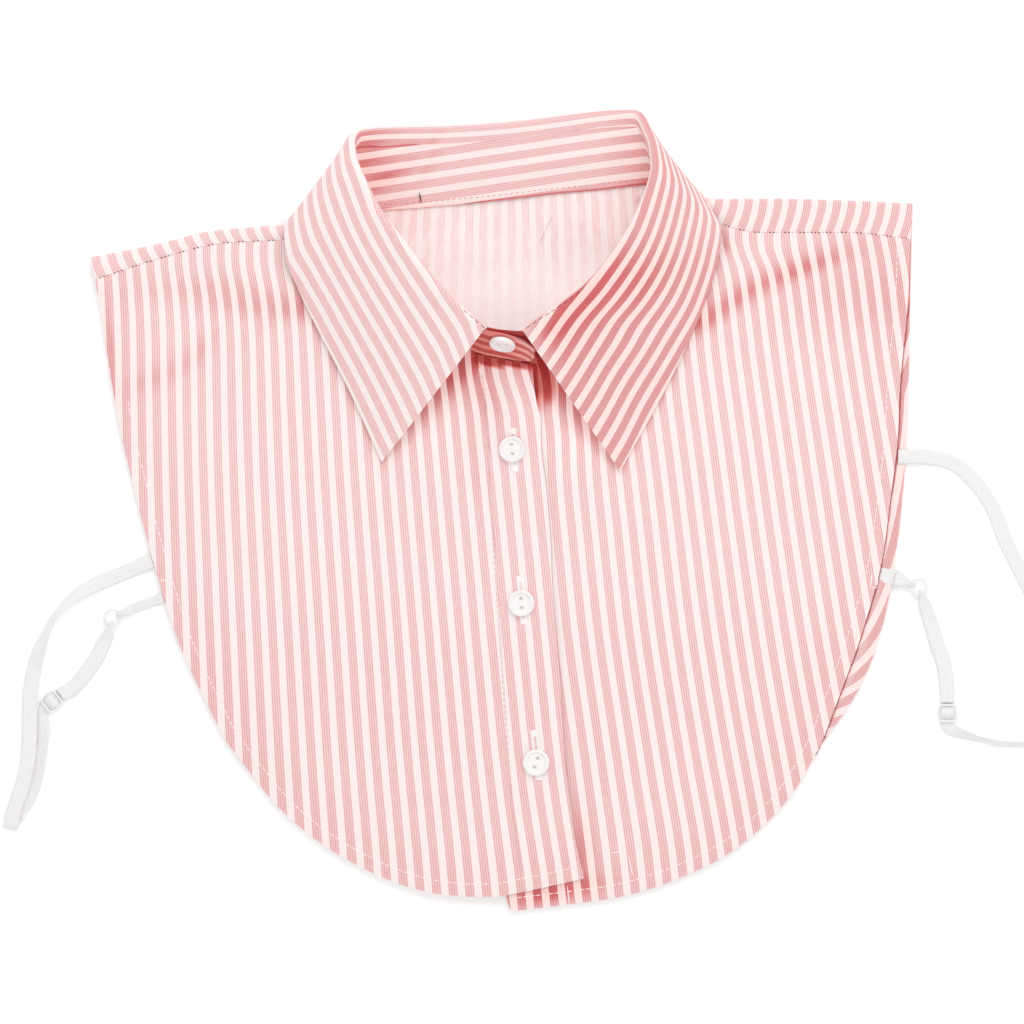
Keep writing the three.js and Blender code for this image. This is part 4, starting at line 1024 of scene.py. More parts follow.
STAND_LEFT_END = np.array([
    (0.8, 69.0, 12.8, 0.8, 72.8, 19.8), (-1.0, 67.6, 10.4, -1.2, 74.4, 23.6),
    (-5.0, 67.8, 9.8, -5.0, 76.4, 26.6), (-13.0, 69.0, 9.8, -13.0, 78.9, 28.2),
])
STAND_RIGHT_END = np.array([
    (-13.0, 71.9, 8.2, -14.0, 80.6, 25.8), (-25.0, 75.2, 8.4, -23.6, 82.6, 24.4),
])


def rib_spans(rows, ends):
    """Mean distance between neighbouring rows, over the named groups of three columns."""
    lines = [rows[:, 3 * end:3 * end + 3] for end in ends]
    return sum(np.linalg.norm(np.diff(line, axis=0), axis=1) for line in lines) / len(ends)


# %% The stand's shape
STAND_ROWS = 22
STAND_WALL = 0.8
# Creases in the stand behind the neck: x y heading length width height.
CREASES = np.array([
    (-62, 160, 25, 18, 2.0, 0.7), (-66, 149, 40, 15, 2.0, 0.6), (-47, 155, 55, 12, 2.2, 0.4),
    (20, 158, 8, 30, 3.0, 0.35), (-20, 150, 12, 30, 3.0, 0.3),
])

stand_rows = np.vstack([STAND_LEFT_END, COLLAR[:, :6], STAND_RIGHT_END])
stand_ribs = refine(stand_rows, rib_spans(stand_rows, (0, 1)), 1.6)
stand_foot, stand_top = stand_ribs[:, :3], stand_ribs[:, 3:6]
up_stand = np.linspace(0, 1, STAND_ROWS + 1)[:, None]
stand_grid = stand_foot * (1 - up_stand[..., None]) + stand_top * up_stand[..., None]
stand_height = np.linalg.norm(stand_top - stand_foot, axis=1)
above_foot, below_top = up_stand * stand_height, (1 - up_stand) * stand_height
stand_far = lengths((stand_foot + stand_top) / 2)
stand_grid[..., 2] += ridge(stand_grid[..., 0], stand_grid[..., 1], CREASES)
stand_x, stand_y = stand_grid[..., 0], stand_grid[..., 1]
print("stand round the neck:", round(stand_far[-1]), "mm")

# %% The stand's painted shade
# Painted shade on the inside of the collar's back: x y heading length width depth.
INNER_SHADE = np.array([
    (-80, 160, 0, 22, 30, 0.5), (-61, 152, 25, 12, 3.0, 0.35), (-73, 158, 15, 8, 3.5, 0.3),
    (-70, 148, 35, 10, 3.0, 0.25), (50, 165, 0, 14, 30, 0.35), (52, 146, 60, 8, 4, 0.5),
    (36, 178, 10, 18, 5, 0.25), (-45, 157, 60, 8, 2.0, 0.25),
])
# Painted shade: deep on the stand's front, deeper towards its left end and deepest under the lap, and
# paler along its rims, a painted highlight where its edges catch the light. Behind the neck it darkens
# along the foot, and along the top on the left.
in_front = ease((104 - stand_y) / 26)
from_rim = np.minimum(np.minimum(below_top, above_foot), stand_far)
front_shade = 0.8 - 0.2 * np.exp(-((from_rim / 0.8) ** 2))
front_deep = 1.22 - 0.6 * ease((stand_x + 14) / 14) - 0.45 * np.exp(-((from_rim / 0.9) ** 2))
under_lap = ease((stand_far - stand_far[-1] + 40) / 14)
front_deep = in_front * (front_deep + (1.9 - front_deep) * under_lap)
behind_shade = np.clip(0.08 + ridge(stand_x, stand_y, INNER_SHADE), 0, 1.2)
behind_shade = behind_shade + 1.1 * np.exp(-((above_foot / 0.7) ** 2))
behind_shade = behind_shade + 0.9 * np.exp(-((below_top / 0.6) ** 2)) * ease((-10 - stand_x) / 40)
stand_shade = behind_shade * (1 - in_front) + front_shade * in_front
print("stand's shade:", round(float(stand_shade.min()), 2), "to", round(float(stand_shade.max()), 2))

# %% The stand
# At the back the stripes run a little aslant to the stand; round the sides they follow its top.
BEHIND_Y, BEHIND_LEAN, BEHIND_PITCH = 158.5, 0.15, 6.53  # a stripe behind the neck
BEND_FROM, BEND = 22, 0.0008  # on the right it bends up with the square of the distance
BESIDE_TOP, BESIDE_PITCH = 5.15, 6.3  # first stripe below the top at the sides

bent = BEND * np.maximum(0, stand_x - BEND_FROM) ** 2
stripes_behind = stand_y - BEHIND_Y - BEHIND_LEAN * (stand_x - COLLAR_X) + bent
stripes_beside = (BESIDE_TOP - below_top) / BESIDE_PITCH + (stand_far < stand_far[-1] / 2)
middle_y = (stand_foot[:, 1] + stand_top[:, 1]) / 2
turning = ease((middle_y - 145 - 9 * ease((stand_foot[:, 0] - 30) / 20)) / 5)
stand_stripes = stripes_behind / BEHIND_PITCH * turning + stripes_beside * (1 - turning)
cloth(
    "collar_stand_cloth", stand_grid.reshape(-1, 3), grid_faces(*stand_grid.shape[:2]),
    np.full(stand_x.size, STAND_WALL), COTTON,
    threads_of(stand_stripes, np.broadcast_to(stand_far, below_top.shape)),
    looks_of(0.0, stand_shade, below_top, front_deep), looks_of(0.0, stand_shade, below_top, front_deep),
    "collar_stand",
)
area_of(stand_grid)

# %% The leaf's shape
RISE_STEPS, FOLD_STEPS, FALL_STEPS = 4, 12, 40
LEAF_WALL = 0.8


def leaf_grid_of(rows):
    """Rows of points from the stand seam over the fold to the free edge. The fold is an arc about an
    axis beside the crest; the fall is a quadratic curve through an aim point that sags or bulges."""
    foot, top, edge = rows[:, :3], rows[:, 3:6], rows[:, 6:9]
    rise, sag = rows[:, 9:10], rows[:, 10]
    up = unit(top - foot)
    out = unit(np.cross(up, unit(np.gradient(top, axis=0))))
    crest = top + up * rise
    middle = crest + out * COLLAR_ROLL
    aim = middle * 0.58 + edge * 0.42
    aim[:, 2] = np.maximum(BACK_MIDDLE, aim[:, 2] - sag)
    way = aim - middle
    turn = np.arctan2((way * out).sum(1), (way * up).sum(1))
    lift = np.linspace(0, 1, RISE_STEPS, endpoint=False)[:, None, None]
    rising = (top + up * SEAM) * (1 - lift) + crest * lift
    angle = (np.linspace(0, 1, FOLD_STEPS + 1)[:, None] * turn)[..., None]
    fold = middle - out * COLLAR_ROLL * np.cos(angle) + up * COLLAR_ROLL * np.sin(angle)
    s = np.linspace(0, 1, FALL_STEPS + 1)[1:, None, None]
    fall = (fold[-1] * (1 - s) + aim * s) * (1 - s) + (aim * (1 - s) + edge * s) * s
    fall[..., 2] = np.maximum(BACK_MIDDLE, fall[..., 2])
    return np.concatenate([rising, fold, fall])


leaf_ribs = refine(COLLAR, rib_spans(COLLAR, (0, 1, 2)), 2.0)
leaf_grid = leaf_grid_of(leaf_ribs)
steps = np.linalg.norm(np.diff(leaf_grid, axis=0), axis=2)
leaf_far = np.concatenate([np.zeros((1, steps.shape[1])), np.cumsum(steps, axis=0)])
from_fold = leaf_far - leaf_far[RISE_STEPS + FOLD_STEPS // 2]
from_edge = leaf_far[-1] - leaf_far
round_neck = np.broadcast_to(lengths(leaf_ribs[:, 3:6]), from_fold.shape)
from_front = np.minimum(round_neck, round_neck[:, -1:] - round_neck)
leaf_x, leaf_y = leaf_grid[..., 0], leaf_grid[..., 1]
print("leaf from the fold to its edge, at the front and at the side:",
      np.round(from_fold[-1, [0, 40]], 1))

# %% The leaf's stripes
# The leaf is cut with its stripes along the free edge: distance round the neck from the left front
# edge, the count at the free edge, and the count at the fold.
LEAF_STRIPES = np.array([
    (0, 0.4, 11.3), (10, 0.45, 10.55), (30, 0.5, 9.88), (50, 0.52, 9.57), (70, 0.72, 9.05),
    (90, 1.15, 8.6), (107, 1.4, 8.5), (125, 1.5, 8.5), (145, 1.5, 8.52), (172, 1.6, 8.56),
    (200, 1.7, 8.68), (217, 1.7, 8.8), (235, 1.5, 8.97), (250, 1.2, 9.1), (270, 0.93, 9.2),
    (290, 0.97, 9.49), (310, 0.62, 9.62), (330, 0.42, 10.02), (350, 0.61, 11.02), (362, 0.6, 11.6),
])

# Where the right leaf is pulled, its stripes shift: x y reachX reachY shift, in stripes.
LEAF_PULLS = np.array([(21, 108, 9, 10, 0.28), (12, 95, 7, 7, 0.2), (40, 84, 15, 8, -0.22)])
at_edge, at_fold = monotone(LEAF_STRIPES[:, 0], LEAF_STRIPES[:, 1:])(round_neck[0]).T
outside = at_edge + (at_fold - at_edge) * from_edge / from_fold[-1]
leaf_stripes = np.where(from_fold > 0, outside, at_fold - from_fold / 4.95)
leaf_stripes = leaf_stripes + pulled(leaf_x, leaf_y, LEAF_PULLS) * ease((from_fold - 2) / 6)
print("stripes at the leaf's fold and free edge:", round(at_fold.mean(), 1), round(at_edge.mean(), 1))

# %% The leaf
# Painted shade where the right leaf turns down beside the fold: x y heading length width depth.
LEAF_VALLEYS = np.array([(20, 88, 42, 24, 9, 0.14), (8, 80, 42, 8, 5, 0.3), (49, 101, 45, 14, 9, 0.2)])
# Painted shade: the right leaf is darker, most beside the fold and less towards its top, and inside the
# collar's back it takes the inner painted shade.
on_right = ease((leaf_x + 8) / 26) * ease((from_fold + 2) / 3)
by_fold = np.exp(-((from_fold / 12) ** 2)) * ease((from_front + 3) / 9) * ease((70 - from_front) / 30)
leaf_shade = 0.06 + on_right * (0.48 + 0.2 * ease((45 - from_fold) / 40) + 0.24 * by_fold)
leaf_shade = leaf_shade - 0.25 * on_right * ease((leaf_y - 105) / 25)
leaf_valleys = ease((from_fold + 1) / 2) * ridge(leaf_x, leaf_y, LEAF_VALLEYS)
leaf_shade = leaf_shade + leaf_valleys
leaf_deep = 0.05 * on_right + 0.2 * leaf_valleys
leaf_behind = ease((leaf_y - 140) / 12) * (1 - ease((from_fold + 2.4) / 1.2))
inner_shade = np.clip(0.08 + ridge(leaf_x, leaf_y - 8, INNER_SHADE), 0, 1.2)
leaf_shade = leaf_shade * (1 - leaf_behind) + inner_shade * leaf_behind
leaf_wall = LEAF_WALL * (0.6 + 0.4 * ease(np.minimum(from_edge, from_front) / 0.8))
cloth(
    "collar_leaf_cloth", leaf_grid.reshape(-1, 3), grid_faces(*leaf_grid.shape[:2]), leaf_wall.ravel(),
    COTTON, threads_of(leaf_stripes, round_neck),
    looks_of(0.0, leaf_shade, leaf_x, leaf_deep), looks_of(0.0, leaf_shade, leaf_x), "collar_fall",
)
area_of(leaf_grid)

# %% [markdown]
# ## Stitches
# A row of lockstitch shows as short dashes of thread that dip into the cloth at both ends. Each
# stitch is a small tube whose middle line is an arch and whose radius shrinks at the ends. All the
# stitches of a row are worked out as one array.

# %% Thread finishes
def thread_finish(name, colour, dark):
    """Cotton thread: two shades twisted round each other along the thread, by object place, and a faint
    painted glow.
    """
    finish = Finish(name)
    place = finish.node("ShaderNodeTexCoord", output="Object")
    twist = finish.noise(place, 2600, 2)
    tint = finish.blend(finish.step(twist, 0.35, 0.65), srgb(*dark), srgb(*colour))
    bump = finish.node("ShaderNodeBump", inputs={"Strength": 0.3, "Distance": 0.0001, "Height": twist})
    return finish.surface(Base_Color=tint, Roughness=0.7, Sheen_Weight=0.2, Normal=bump,
                          Emission_Color=tint, Emission_Strength=0.07)


WHITE_THREAD = thread_finish("white_thread", (255, 252, 251), (250, 240, 238))
RED_THREAD = thread_finish("red_thread", (160, 76, 84), (104, 38, 46))
# The mauve thread serves only as the painted shadow along the lap's edge.
PAINTED_SHADOW_MAUVE = thread_finish("mauve_painted_shadow", (226, 184, 188), (204, 154, 160))
DARK_THREAD = thread_finish("dark_thread", (92, 50, 54), (60, 26, 30))
PINK_THREAD = thread_finish("pink_thread", (240, 170, 172), (214, 120, 126))
PALE_THREAD = thread_finish("pale_thread", (236, 206, 206), (214, 176, 178))
print("red thread made of", len(RED_THREAD.node_tree.nodes), "nodes")

# %% Thread helpers
THREAD_SIDES = 6


def stitches(starts, ends, ups, radius, arch):
    """Tubes between pairs of points: the middle line rises by arch times a half sine, and the
    radius is the given one times that sine to the power 0.35, so that it is full but for the ends."""
    t = np.linspace(0.0, 1.0, 8)
    bow = np.sin(math.pi * t)
    swell = np.maximum(bow, 0.012) ** 0.35
    way = unit(ends - starts)
    side = unit(np.cross(ups, way))
    over = unit(np.cross(way, side))
    line = starts[:, None] + (ends - starts)[:, None] * t[:, None]
    line = line + over[:, None] * (arch * bow)[:, None]
    angle = np.linspace(0, 2 * math.pi, THREAD_SIDES, endpoint=False)
    ring = side[:, None] * np.cos(angle)[:, None] + over[:, None] * np.sin(angle)[:, None]
    points = line[:, :, None] + ring[:, None] * (radius * swell)[:, None, None]
    count, steps = len(starts), len(t)
    base = (np.arange(count) * steps * THREAD_SIDES)[:, None, None]
    quads = (grid_faces(steps, THREAD_SIDES, around=True)[None, :, ::-1] + base).reshape(-1, 4)
    first = np.arange(THREAD_SIDES)[None, :] + base[:, :, 0]
    last = first[:, ::-1] + (steps - 1) * THREAD_SIDES
    return points.reshape(-1, 3), [*quads.tolist(), *first.tolist(), *last.tolist()]


# %% Rows of stitches
def join(parts):
    """One set of points and faces from several."""
    points, faces, base = [], [], 0
    for some, lists in parts:
        points.append(some)
        faces += [[corner + base for corner in face] for face in lists]
        base += len(some)
    return np.vstack(points), faces


def stitch_row(line, ups, length=2.5, gap=0.35, radius=0.22, arch=0.18, chosen=None):
    """Stitches of one length along a line, with a gap between them; chosen can leave some out, as a
    function of their starts."""
    far = lengths(line)
    begin = np.arange(0.2, far[-1] - length, length + gap)
    if chosen is not None:
        begin = begin[chosen(walk(line, begin))]
    starts, ends = walk(line, begin), walk(line, begin + length)
    up = unit(np.stack([np.interp(begin, far, part) for part in ups.T], 1))
    return stitches(starts, ends, up, radius, arch)


# %% Sewing on the fronts
def on_front(line, height, above=0.15):
    """A plan line laid a little above a front's plain upper face, with the way up at each point."""
    x, y = line[:, 0], line[:, 1]
    z = height(x, y) + CLOTH / 2 + above
    slope_x = (height(x + 1, y) - height(x - 1, y)) / 2
    slope_y = (height(x, y + 1) - height(x, y - 1)) / 2
    return np.stack([x, y, z], 1), unit(np.stack([-slope_x, -slope_y, np.ones_like(x)], 1))


def sew(name, thread, *rows):
    """One object of all the stitches that are sewn with one thread."""
    put(name, *join(rows), thread, slot="striped_cotton")


# %% Hem stitches
# How each hem goes on over the end of its band.
LEFT_HEM_END = np.array([(-12, -172.4), (-3.4, -171.0), (23.4, -165.2)])
RIGHT_HEM_END = np.array([(22, -176.1), (16.4, -176.9), (-9.6, -180)])


def hem_row(hem, end, width):
    """The line of the stitches: the hem with its end, made smooth and moved in by a width."""
    return inside(smooth_line(np.vstack([hem[:-4], smooth_line(end, 30)])[::6], 400), width)


left_row, right_row = hem_row(left_hem, LEFT_HEM_END, HEM), hem_row(right_hem, RIGHT_HEM_END, -HEM)
left_row = left_row[(left_row[:, 0] < 21.5) & (left_row[:, 1] < 50)]
right_row = right_row[(right_row[:, 1] < 119) & (right_row[:, 0] > -8.5)]
sew("hem_stitches", WHITE_THREAD,
    stitch_row(*on_front(left_row, lapped_height)), stitch_row(*on_front(right_row, front_height)))

# %% [markdown]
# The seam between the left front and its band is sewn twice: a row of stitches beside it, and the
# thread that shows in the seam itself.

# %% Band seam
band_seam = left_seam[(left_seam[:, 1] > -165) & (left_seam[:, 1] < 62)]
beside_seam = on_front(band_seam - (0.5, 0), lapped_height, 0.03)
in_seam = on_front(band_seam + (0.05, 0), lapped_height, -0.02)
sew("band_seam_stitches", PALE_THREAD, stitch_row(*beside_seam, length=2.3, gap=0.5, radius=0.13))
sew("band_seam_thread", PALE_THREAD,
    stitch_row(*in_seam, length=2.6, gap=0.1, radius=0.14, arch=0.05))

# %% [markdown]
# The photo has a thin dark line along the lap's edge and along the right front's edge. It is most
# likely shade, which is finer there than our grids, so a dark thread just under each edge stands in
# for it as a painted shadow. Leave these two objects out for a piece without such a line.

# %% Edge shadow threads
lap_edge = smooth_line(LEFT_BAND_EDGE, 460)
lap_edge = lap_edge[lap_edge[:, 1] < 48] + (0.12, 0)
side_edge = inside(smooth_line(right_hem[::3], 600), 0.14)
side_edge = side_edge[(side_edge[:, 1] < 92) & (side_edge[:, 1] > -112)]
# Painted shadow: two dark threads that stand in for the shade along these edges.
sew("lap_edge_painted_shadow", PAINTED_SHADOW_MAUVE, stitch_row(
    *on_front(lap_edge, lapped_height, -0.3), length=2.6, gap=0.02, radius=0.24, arch=0.02))
sew("side_edge_painted_shadow", RED_THREAD, stitch_row(
    *on_front(side_edge, front_height, -0.1), length=2.6, gap=0.02, radius=0.25, arch=0.02))

# %% [markdown]
# The shoulder seams are sewn with short stitches that look red on the pink stripes and pale on the
# white ones. We make them as two threads, each where its stripes are. The foot of the stand has a row
# of its own, seen through the neck.

# %% Shoulder stitches
def on_pink(starts):
    """Where the stripe beside a shoulder seam is pink: less than 0.27 from a whole count."""
    slant = np.where(starts[:, 0] < 0, LEFT_SLANT, RIGHT_SLANT)
    seam_x = starts[:, 0] + slant * (1 - STRIPE_SLANT_FROM) ** 1.5
    count = back_count(seam_x, np.full(len(starts), STRIP_Y))
    return np.abs(count - np.round(count)) < 0.27


def off_pink(starts):
    """Where it is white."""
    return ~on_pink(starts)


def shoulder_row(seam, height, chosen):
    """Short stitches along a shoulder seam, where the stripes are the chosen ones."""
    line, ups = on_front(seam[:, 2:4] + (0.0, -SEAM / 2), height, 0.02)
    return stitch_row(line, ups, length=1.0, gap=0.7, radius=0.24, arch=0.12, chosen=chosen)


for name, thread, chosen in (
        ("shoulder_red_stitches", RED_THREAD, on_pink),
        ("shoulder_pale_stitches", PALE_THREAD, off_pink)):
    sew(name, thread, shoulder_row(left_stations, lapped_height, chosen),
        shoulder_row(right_stations, front_height, chosen))

# %% Neck stitches
stand_line = stand_foot * 0.91 + stand_top * 0.09
behind = (stand_line[:, 1] > 128) & (stand_line[:, 0] > -78) & (stand_line[:, 0] < 56)
stand_normal = unit(np.cross(stand_top - stand_foot, np.gradient(stand_foot, axis=0)))
inner_side = np.where(stand_normal[:, 2:3] > 0, stand_normal, -stand_normal)
neck_row = stand_line[behind] + inner_side[behind] * 0.45
sew("neck_stitches", PINK_THREAD,
    stitch_row(neck_row, inner_side[behind], length=1.3, gap=1.3, radius=0.15))

# %% [markdown]
# The collar's crest is stitched close to the fold. Its dark thread shows from above by the front.

# %% Crest stitches
crest_row = np.argmax(leaf_grid[..., 2], axis=0) - 3
crest_points = leaf_grid[crest_row, np.arange(leaf_grid.shape[1])]
crest_far = lengths(crest_points)
crest_ends = [crest_points[crest_far < 16], crest_points[crest_far > crest_far[-1] - 36]]


def crest_stitch_row(line):
    """Stitches that lie on the top of the fold along a line of its points."""
    line = walk(line, np.arange(0, lengths(line)[-1], 0.5)) + (0, 0, 0.46)
    return stitch_row(line, line * 0 + (0, 0, 1), length=2.6, gap=0.7, radius=0.14, arch=0.1)


sew("crest_stitches", DARK_THREAD, *[crest_stitch_row(line) for line in crest_ends])

# %% [markdown]
# Small bars of thread hold the straps' ends and the lap, and a few thread ends were never trimmed.
# Such small faults make a sewn piece look real, so we put them where the photo has them.

# %% Bars and thread ends
# Start and end of each bar: x y x y, on the left front first.
LEFT_BARS = np.array([(-167.4, -31.3, -164.2, -31.1), (-164.3, -40.2, -162.6, -42.4)])
RIGHT_BARS = np.array([
    (152.8, -27.9, 152.1, -34.5), (152.1, -34.6, 155.3, -34.3), (155.4, -28.4, 155.0, -34.0),
    (35.1, -153.9, 41.4, -153.1), (15.8, -168.3, 16.9, -177.6), (43.4, -154.6, 45.2, -164.0),
])
# A basting stitch left inside the collar, then thread ends lying in the neck: x y z x y z.
BASTING = np.array([(-50.7, 143.0, 6.3, -49.7, 138.3, 5.3)])
THREAD_ENDS = np.array([
    (9.0, 132.7, 3.4, 6.2, 126.4, 3.4), (6.2, 126.4, 3.4, 3.2, 120.2, 3.4),
    (48.8, 142.2, 5.0, 46.1, 138.0, 3.0),
])


def bars(rows, height):
    """One long stitch on a front for each row, high enough to lie on it."""
    starts, ups = on_front(rows[:, :2], height, 0.2)
    ends, _ = on_front(rows[:, 2:], height, 0.2)
    return stitches(starts, ends, ups, 0.26, 0.15)


def loose(rows, radius):
    """One straight piece of thread for each row."""
    return stitches(rows[:, :3], rows[:, 3:], np.zeros((len(rows), 3)) + (0, 0, 1), radius, 0.2)


sew("bar_stitches", WHITE_THREAD, bars(LEFT_BARS, lapped_height), bars(RIGHT_BARS, front_height))
sew("basting_stitch", DARK_THREAD, loose(BASTING, 0.3))
sew("thread_ends", PALE_THREAD, loose(THREAD_ENDS, 0.14))

# %% [markdown]
# ## Buttons and buttonholes
# Four plain white buttons with two holes and a raised rim. A button is a turned shape: the profile
# goes round the axis, and near each hole the face drops into it. Thread bridges the two holes.

# %% Button shape
HOLE, HOLE_PITCH, HOLE_DEEP = 0.75, 4.0, 1.55  # radius of a hole, spacing of the two, and depth
FACE_RINGS = 40  # rings of the grid that the holes go through

# Half of a button cut through its middle: radius and height.
BUTTON_PROFILE = np.array([
    (0, 1.7), (2.4, 1.68), (3.9, 1.75), (4.35, 2.2), (4.9, 2.55), (5.5, 2.45), (5.9, 2.0),
    (6.0, 1.3), (5.8, 0.6), (5.2, 0.15), (4.0, 0.0), (0.0, 0.0),
])


def button_shape():
    """Polar grid: rings from the middle out over the rim, down the side and back underneath. The
    face's height is the profile, less a steep well about each hole."""
    profile = smooth_line(BUTTON_PROFILE, 90)
    angle = np.linspace(0, 2 * math.pi, 96, endpoint=False)
    x = profile[1:-1, :1] * np.cos(angle)
    y = profile[1:-1, :1] * np.sin(angle)
    z = np.broadcast_to(profile[1:-1, 1:], x.shape).copy()
    upper = np.arange(len(z))[:, None] < FACE_RINGS
    for side in (-1, 1):
        apart = np.hypot(x - side * HOLE_PITCH / 2, y)
        z -= np.where(upper, HOLE_DEEP * (1 - ease((apart - HOLE + 0.2) / 0.35)), 0)
    rings, count = x.shape
    poles = np.array([(0, 0, BUTTON_PROFILE[0, 1]), (0, 0, BUTTON_PROFILE[-1, 1])])
    points = np.vstack([np.stack([x, y, z], -1).reshape(-1, 3), poles])
    top, base = rings * count, rings * count + 1
    ring = np.arange(count)
    following = np.roll(ring, -1)
    last = (rings - 1) * count
    upper_cap = np.stack([np.full(count, top), ring, following], 1)
    lower_cap = np.stack([np.full(count, base), last + following, last + ring], 1)
    quads = grid_faces(rings, count, around=True)
    return points, [*quads.tolist(), *upper_cap.tolist(), *lower_cap.tolist()]


button_points, button_faces = button_shape()
print("a button:", np.round(np.ptp(button_points, axis=0), 2), "mm")


# %% Sewing on a button
def turned(points, seat, normal, degrees):
    """Points turned about Z, tipped so that Z follows a normal, and moved to a seat."""
    turn = math.radians(degrees)
    spin = np.array([
        (math.cos(turn), -math.sin(turn), 0), (math.sin(turn), math.cos(turn), 0), (0, 0, 1),
    ])
    normal = unit(np.asarray(normal, float))
    axis = np.array([-normal[1], normal[0], 0.0])
    cross = np.array([(0, -axis[2], axis[1]), (axis[2], 0, -axis[0]), (-axis[1], axis[0], 0)])
    tip = np.eye(3) + cross + cross @ cross / (1 + normal[2])
    return points @ spin.T @ tip.T + seat


def plastic(name, colour, glow):
    """Moulded white plastic: faint clouding and a soft gloss."""
    finish = Finish(name)
    place = finish.node("ShaderNodeTexCoord", output="Object")
    cloud = finish.noise(place, 420, 3)
    fine = finish.noise(place, 3000, 2)
    tint = finish.blend(cloud, srgb(*colour), srgb(*glow))
    bump = finish.node("ShaderNodeBump", inputs={"Strength": 0.08, "Distance": 0.0001, "Height": fine})
    rough = 0.26 + cloud * 0.14
    return finish.surface(Base_Color=tint, Roughness=rough, Normal=bump)


BUTTON_PLASTIC = plastic("button_plastic", (247, 244, 243), (255, 252, 251))
BRIDGES = np.array([-0.28, 0.0, 0.28])  # the threads that bridge the holes, side by side
BRIDGE_FOOT, BRIDGE_RISE, BRIDGE_RADIUS = 0.7, 1.35, 0.17  # ends in the holes, arch, thickness


def sew_button(name, seat, normal, degrees, node):
    """The disc, and the threads that bridge its holes and go down into them."""
    put(name, turned(button_points, seat, normal, degrees), button_faces, BUTTON_PLASTIC,
        stands_for=(node,), slot="white_plastic")
    foot = np.full(3, BRIDGE_FOOT)
    starts = np.stack([np.full(3, -HOLE_PITCH / 2), BRIDGES, foot], 1)
    ends = starts * (-1, 1, 1)
    points, faces = stitches(starts, ends, starts * 0 + (0, 0, 1), BRIDGE_RADIUS, BRIDGE_RISE)
    put(f"{name}_thread", turned(points, seat, normal, degrees), faces, WHITE_THREAD,
        slot="white_plastic")


# %% Buttons
# Where each button of the fronts sits, and which way its holes run.
FRONT_BUTTONS = (
    ("button_1", -9.0, 27.9, 94), ("button_2", -4.9, -41.4, 94), ("button_3", 1.8, -113.0, 70),
)
STAND_BUTTON_UP = 0.72  # where it sits, as a share of the stand's height

for name, x, y, degrees in FRONT_BUTTONS:
    spot, up = on_front(np.array([(x, y)]), lapped_height, 0.2)
    sew_button(f"{name}_disc", spot[0], up[0], degrees, name)

rib_foot, rib_top = STAND_LEFT_END[3, :3], STAND_LEFT_END[3, 3:]
stand_way = COLLAR[0, :3] - STAND_LEFT_END[2, :3]
stand_out = unit(unit(np.cross(rib_top - rib_foot, stand_way)) * (1, 1, 0.86))
stand_seat = rib_foot * (1 - STAND_BUTTON_UP) + rib_top * STAND_BUTTON_UP + stand_out * 0.6
sew_button("stand_button_disc", stand_seat, stand_out, 12, "stand_button")

# %% Buttonholes
# The slit of each hole, from its top to its foot: x y x y.
BUTTONHOLES = np.array([
    (-8.7, 37.2, -7.6, 17.6), (-5.4, -29.3, -3.4, -50.9), (0.9, -98.6, 3.2, -121.0),
])
SIDE_PITCH, BAR_PITCH = 0.42, 0.36  # spacing of the stitches down the sides and in the bars
SIDES_FROM, BAR_TO = 2.6, 2.8  # from an end of the slit to the side stitches, and over a bar
SLIT, SIDE_WIDE, BAR_WIDE = 0.35, 1.75, 1.95  # from the middle line to the stitches' ends


def buttonhole(x0, y0, x1, y1):
    """Satin stitches across a line: short ones down both sides of the slit and wide bars at its
    two ends."""
    length = math.hypot(x1 - x0, y1 - y0)
    top = np.array([x0, y0])
    way = np.array([(x1 - x0) / length, (y1 - y0) / length])
    side = np.array([-way[1], way[0]])
    leg = np.arange(SIDES_FROM, length - SIDES_FROM, SIDE_PITCH)
    wide = np.concatenate([
        np.arange(0.0, BAR_TO, BAR_PITCH), np.arange(length - BAR_TO, length, BAR_PITCH),
    ])
    rows = []
    for low, high, at in (
            (-SIDE_WIDE, -SLIT, leg), (SLIT, SIDE_WIDE, leg + 0.2), (-BAR_WIDE, BAR_WIDE, wide)):
        shake = np.sin(at * 7.3) * 0.12
        start = top + way * at[:, None] + side * (low + shake)[:, None]
        end = top + way * (at + 0.12)[:, None] + side * (high + shake)[:, None]
        begin, up = on_front(start, lapped_height, 0.0)
        stop, _ = on_front(end, lapped_height, 0.0)
        rows.append(stitches(begin, stop, up, 0.24, 0.3))
    return join(rows)


sew("buttonhole_stitches", WHITE_THREAD, *[buttonhole(*row) for row in BUTTONHOLES])

# %% [markdown]
# ## Elastic straps
# Each side has a knitted elastic strap: one long leg is sewn under the front, goes through a slider,
# and comes back doubled to a ring that a short tab holds to the side. The elastic is a flat ribbon
# carried along its stations, which say where it is, how high, and how far it stands on edge.

